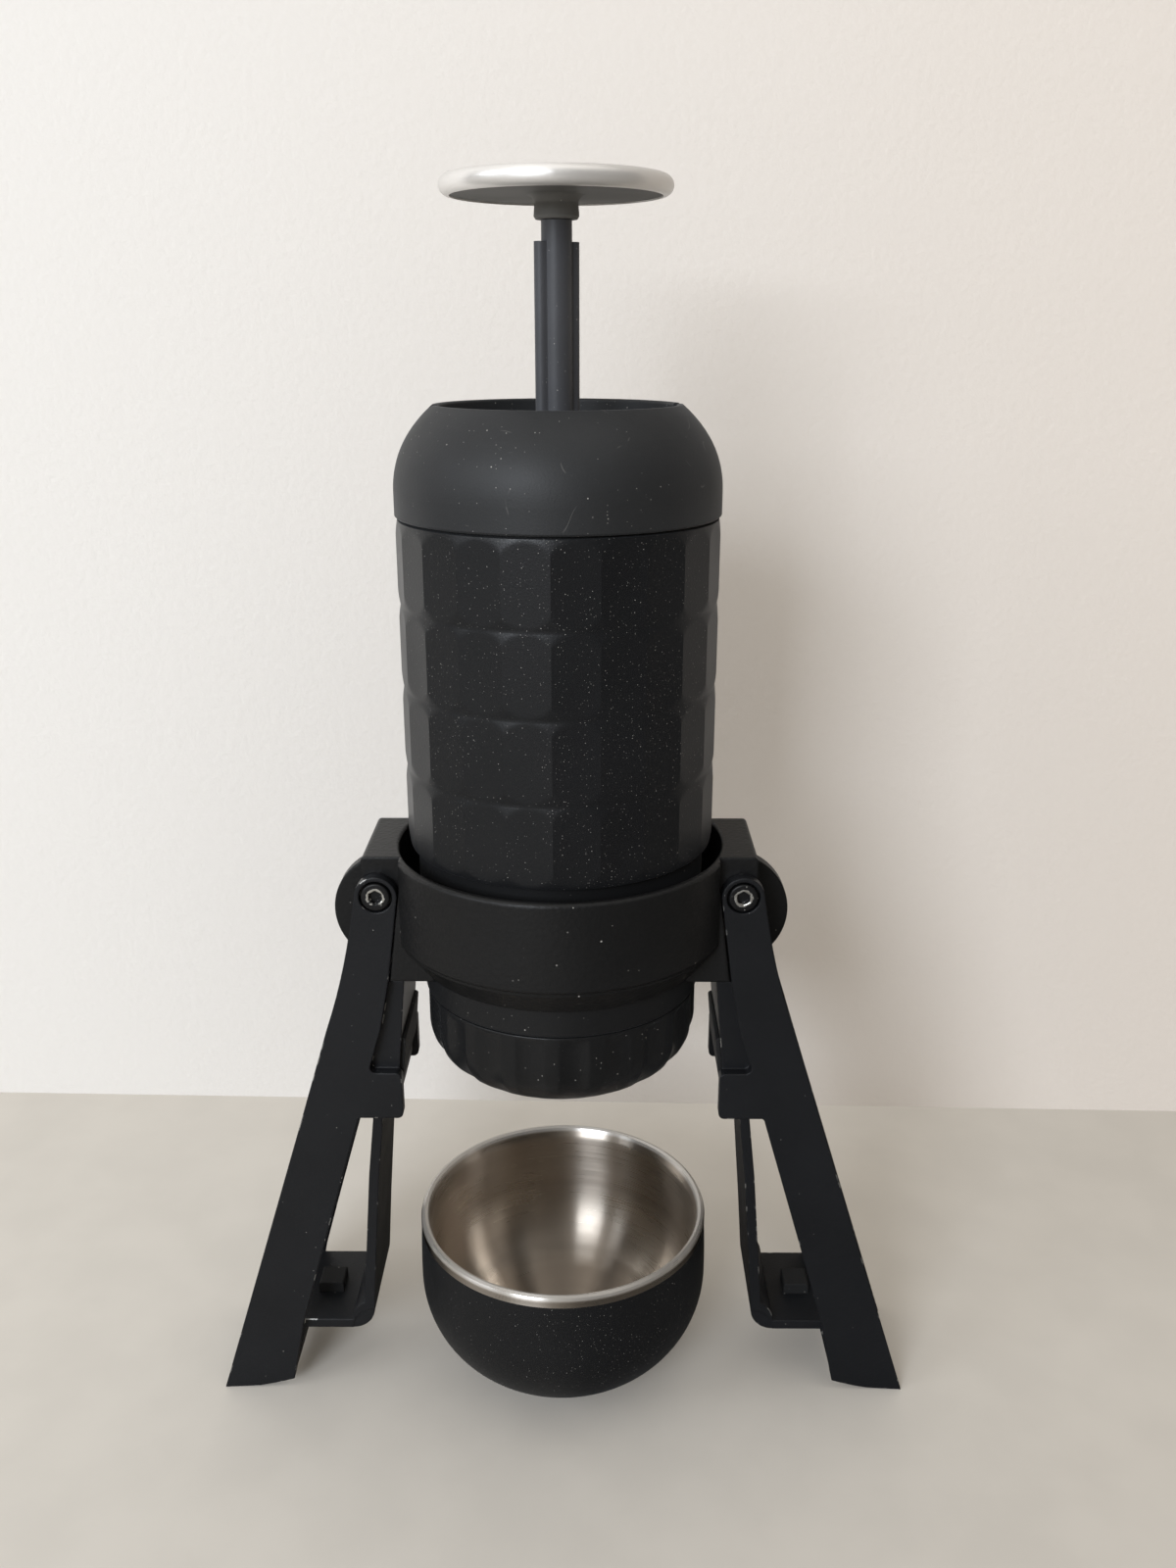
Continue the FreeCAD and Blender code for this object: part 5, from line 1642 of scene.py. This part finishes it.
@dataclass
class Studio:
    """Table, wall, light and camera, in metres and degrees, but the sensor in millimetres.

    The room's light and its mirror image differ: a pair whose name holds mirrored gives how
    bright a surface or the room looks in a reflection, on its dark and on its bright side. On
    the table and the wall that is painted shade, a darker colour that only reflections see;
    for the room it is light.
    """

    table_colour: Colour = (0.55, 0.52, 0.475)
    # Painted light: the table's colour on its left, lighter where the windows shine.
    table_painted_light_left: Colour = (0.63, 0.605, 0.56)
    wall_colour: Colour = (0.69, 0.645, 0.60)
    # Painted light: the wall's colour on its left, lighter where the windows shine.
    wall_painted_light_left: Colour = (0.72, 0.706, 0.684)
    ceiling: Colour = (1.0, 0.965, 0.91)
    horizon: Colour = (1.0, 0.86, 0.70)
    wall_y: float = 0.129
    wall_turn: float = -1.4
    extent: float = 2.5
    # How far the painted light reaches either side of the middle.
    painted_light_edge: float = 0.22
    bright_side: Place = (-0.71, -0.704, 0.0)
    bright_span: Span = (0.44, 0.90)
    mottle_scale: float = 38.0
    mottle: Span = (0.3, 0.7)
    mottle_pale: float = 1.05
    # Painted shade: how bright the table looks in reflections, away from and towards the windows.
    table_mirrored_painted_shade: Span = (0.14, 0.55)
    table_roughness: float = 0.72
    table_specular: float = 0.25
    plaster_scale: float = 420.0
    plaster_depth: float = 0.0004
    plaster_relief: float = 0.5
    # Painted shade: how bright the wall looks in reflections, on its right and its left.
    wall_mirrored_painted_shade: Span = (0.48, 0.92)
    wall_roughness: float = 0.85
    wall_specular: float = 0.1
    overhead_span: Span = (-0.05, 0.95)
    room_strength: Span = (0.48, 0.86)
    ceiling_span: Span = (0.48, 1.0)
    ceiling_mirrored: Span = (0.05, 1.15)
    upper_span: Span = (0.02, 0.3)
    window_mirrored: Span = (0.10, 0.62)
    lens_pixels: float = 1368.9
    image_height: float = 1600.0
    sensor: float = 36.0
    nearest: float = 0.01
    camera_at: Place = (0.00852, -0.31606, 0.27717)
    camera_tilt: float = 71.4
    camera_roll: float = 0.30
    lamps: tuple[Lamp, ...] = (Lamp("window_light", (-0.95, -2.10, 1.02), 0.9, 37.5),
                               Lamp("side_window_light", (-2.05, -1.10, 1.02), 1.1, 12.0))

    def _sheet(self, name: str, corners: Sequence[Place],
               material: bpy.types.Material) -> bpy.types.Object:
        """A flat stage surface.

        Args:
            name: the object's name.
            corners: its corners, counter-clockwise from the front.
            material: its finish.

        Returns:
            The object.
        """
        mesh = bpy.data.meshes.new(name)
        mesh.from_pydata(corners, [], [tuple(range(len(corners)))])
        mesh.materials.append(material)
        sheet = add_to_scene(name, mesh)
        return sheet

    def _table_finish(self) -> bpy.types.Material:
        """Pale laminate with a faint mottle.

        Returns:
            The material.
        """
        material, graph, shader = new_material("table_laminate")
        where = graph.on_object()
        cloud = graph.step(graph.noise(where, self.mottle_scale, detail=5.0), *self.mottle)
        # Painted light: the table's colour turns lighter towards the left.
        painted_light_share = self._painted_light_share(graph, where)
        base = graph.blend(painted_light_share, self.table_colour, self.table_painted_light_left)
        pale = graph.blend(painted_light_share, shade(self.table_colour, self.mottle_pale),
                           shade(self.table_painted_light_left, self.mottle_pale))
        colour = graph.blend(cloud, base, pale)
        # Painted shade that only reflections see: the table darker away from the windows.
        flat = graph.vector("MULTIPLY", where, (1.0, 1.0, 0.0))
        heading = graph.vector("NORMALIZE", flat.outputs[0])
        mirrored = graph.vector("SCALE", self.table_colour)
        level = graph.between(self._bright(graph, heading.outputs[0]), *self.table_mirrored_painted_shade)
        graph.feed(mirrored.inputs["Scale"], level)
        glossy = graph.add("ShaderNodeLightPath").outputs["Is Glossy Ray"]
        graph.feed(shader.inputs["Base Color"], graph.blend(glossy, colour, mirrored.outputs[0]))
        shader.inputs["Roughness"].default_value = self.table_roughness
        shader.inputs["Specular IOR Level"].default_value = self.table_specular
        return material

    def _bright(self, graph: Graph, heading: Socket) -> Socket:
        """How far a direction goes towards the windows.

        Args:
            graph: the graph of the material or the world.
            heading: the direction, one long.

        Returns:
            Zero away from the windows, one towards them.
        """
        turn = graph.vector("DOT_PRODUCT", heading, self.bright_side)
        return graph.step(turn.outputs["Value"], *self.bright_span)

    def _painted_light_share(self, graph: Graph, where: Socket) -> Socket:
        """How far to the left a place is, where the daylight comes from.

        Args:
            graph: the material's graph.
            where: the place.

        Returns:
            Zero on the right, one on the left.
        """
        return graph.step(graph.split(where)[0], self.painted_light_edge, -self.painted_light_edge)

    def _wall_finish(self) -> bpy.types.Material:
        """Painted plaster that the camera sees from its front only.

        Returns:
            The material.
        """
        material, graph, shader = new_material("wall_paint")
        where = graph.on_object()
        rolled = graph.noise(where, self.plaster_scale, detail=3.0)
        graph.bump(shader, self.plaster_depth, rolled, strength=self.plaster_relief)
        rays = graph.add("ShaderNodeLightPath")
        painted_light_share = self._painted_light_share(graph, where)
        # Painted shade that only reflections see: the wall darker, most on the right.
        right_share, left_share = self.wall_mirrored_painted_shade
        mirrored = graph.blend(painted_light_share, shade(self.wall_colour, right_share),
                               shade(self.wall_painted_light_left, left_share))
        # Painted light: the wall's paint turns lighter towards the left.
        painted = graph.blend(painted_light_share, self.wall_colour, self.wall_painted_light_left)
        colour = graph.blend(rays.outputs["Is Glossy Ray"], painted, mirrored)
        graph.feed(shader.inputs["Base Color"], colour)
        shader.inputs["Roughness"].default_value = self.wall_roughness
        shader.inputs["Specular IOR Level"].default_value = self.wall_specular
        back = graph.add("ShaderNodeNewGeometry").outputs["Backfacing"]
        seen = graph.math("MAXIMUM", rays.outputs["Is Camera Ray"], rays.outputs["Is Glossy Ray"])
        shown = graph.product(seen, graph.math("SUBTRACT", 1.0, back))
        clear = graph.add("ShaderNodeBsdfTransparent").outputs[0]
        output = next(node for node in graph.tree.nodes if node.type == "OUTPUT_MATERIAL")
        graph.feed(output.inputs["Surface"], graph.choose(shown, clear, shader.outputs[0]))
        return material

    def build_stage(self) -> None:
        """Makes the table and the wall behind it."""
        reach = self.extent
        table = [(-reach, -reach, 0.0), (reach, -reach, 0.0), (reach, reach, 0.0),
                 (-reach, reach, 0.0)]
        self._sheet("table_top", table, self._table_finish())
        slope = math.tan(math.radians(self.wall_turn)) * reach
        left, right = self.wall_y - slope, self.wall_y + slope
        wall = [(-reach, left, 0.0), (reach, right, 0.0), (reach, right, reach),
                (-reach, left, reach)]
        self._sheet("back_wall", wall, self._wall_finish())

    def build_world(self) -> None:
        """Makes the room light, its darker mirror image and the pale surround."""
        world = bpy.data.worlds.new("room")
        world.use_nodes = True
        graph = Graph(world.node_tree)
        rays = graph.add("ShaderNodeLightPath")
        towards = graph.add("ShaderNodeTexCoord").outputs["Generated"]
        up = graph.split(towards)[2]
        overhead = graph.step(up, *self.overhead_span)
        room = graph.call("ShaderNodeBackground", {
            "Color": graph.blend(overhead, self.horizon, self.ceiling),
            "Strength": graph.between(overhead, *self.room_strength)})
        upper = graph.step(up, *self.upper_span)
        windows = graph.product(self._bright(graph, towards),
                                graph.between(upper, *self.window_mirrored))
        above = graph.between(graph.step(up, *self.ceiling_span), *self.ceiling_mirrored)
        mirrored = graph.call("ShaderNodeBackground", {
            "Color": opaque(self.ceiling), "Strength": graph.math("ADD", above, windows)})
        shown = graph.call("ShaderNodeBackground", {
            "Color": opaque(self.wall_colour), "Strength": 1.0})
        lit = graph.choose(rays.outputs["Is Glossy Ray"], room.outputs[0], mirrored.outputs[0])
        seen = graph.choose(rays.outputs["Is Camera Ray"], lit, shown.outputs[0])
        output = graph.add("ShaderNodeOutputWorld")
        graph.feed(output.inputs["Surface"], seen)
        bpy.context.scene.world = world

    def build_camera(self) -> None:
        """Makes the camera."""
        data = bpy.data.cameras.new("camera")
        data.sensor_width = self.sensor
        data.lens = self.lens_pixels / self.image_height * self.sensor
        data.clip_start = self.nearest
        camera = add_to_scene("camera", data)
        camera.location = self.camera_at
        tilt, roll = math.radians(self.camera_tilt), math.radians(self.camera_roll)
        camera.rotation_euler = (tilt, 0.0, roll)
        bpy.context.scene.camera = camera

    def build(self) -> None:
        """Makes the whole studio."""
        bpy.context.scene.view_settings.view_transform = "Standard"
        self.build_camera()
        self.build_stage()
        self.build_world()
        for lamp in self.lamps:
            lamp.build()


def main() -> None:
    """Builds every sub-assembly in order and reports its pieces."""
    logging.basicConfig(level=logging.INFO, format="%(name)s: %(message)s")
    Studio().build()
    effects = Effects()
    tank, cap, stand = TankBody(effects), OutletCap(effects), Stand(effects)
    legs = [Leg(effects, "left"), Leg(effects, "right")]
    for piece in [tank.build(), cap.build(), *stand.build(), *Cup(effects).build(),
                  *(leg.build() for leg in legs)]:
        LOG.info("%s: %d faces", piece.name, len(piece.data.polygons))
    assemblies = [Plunger(effects), TopCover(effects), tank, BrewHead(effects), cap, stand, *legs]
    for assembly in assemblies:
        assembly.dress()
        LOG.info("%s dressed", type(assembly).__name__)


if __name__ == "__main__":
    main()
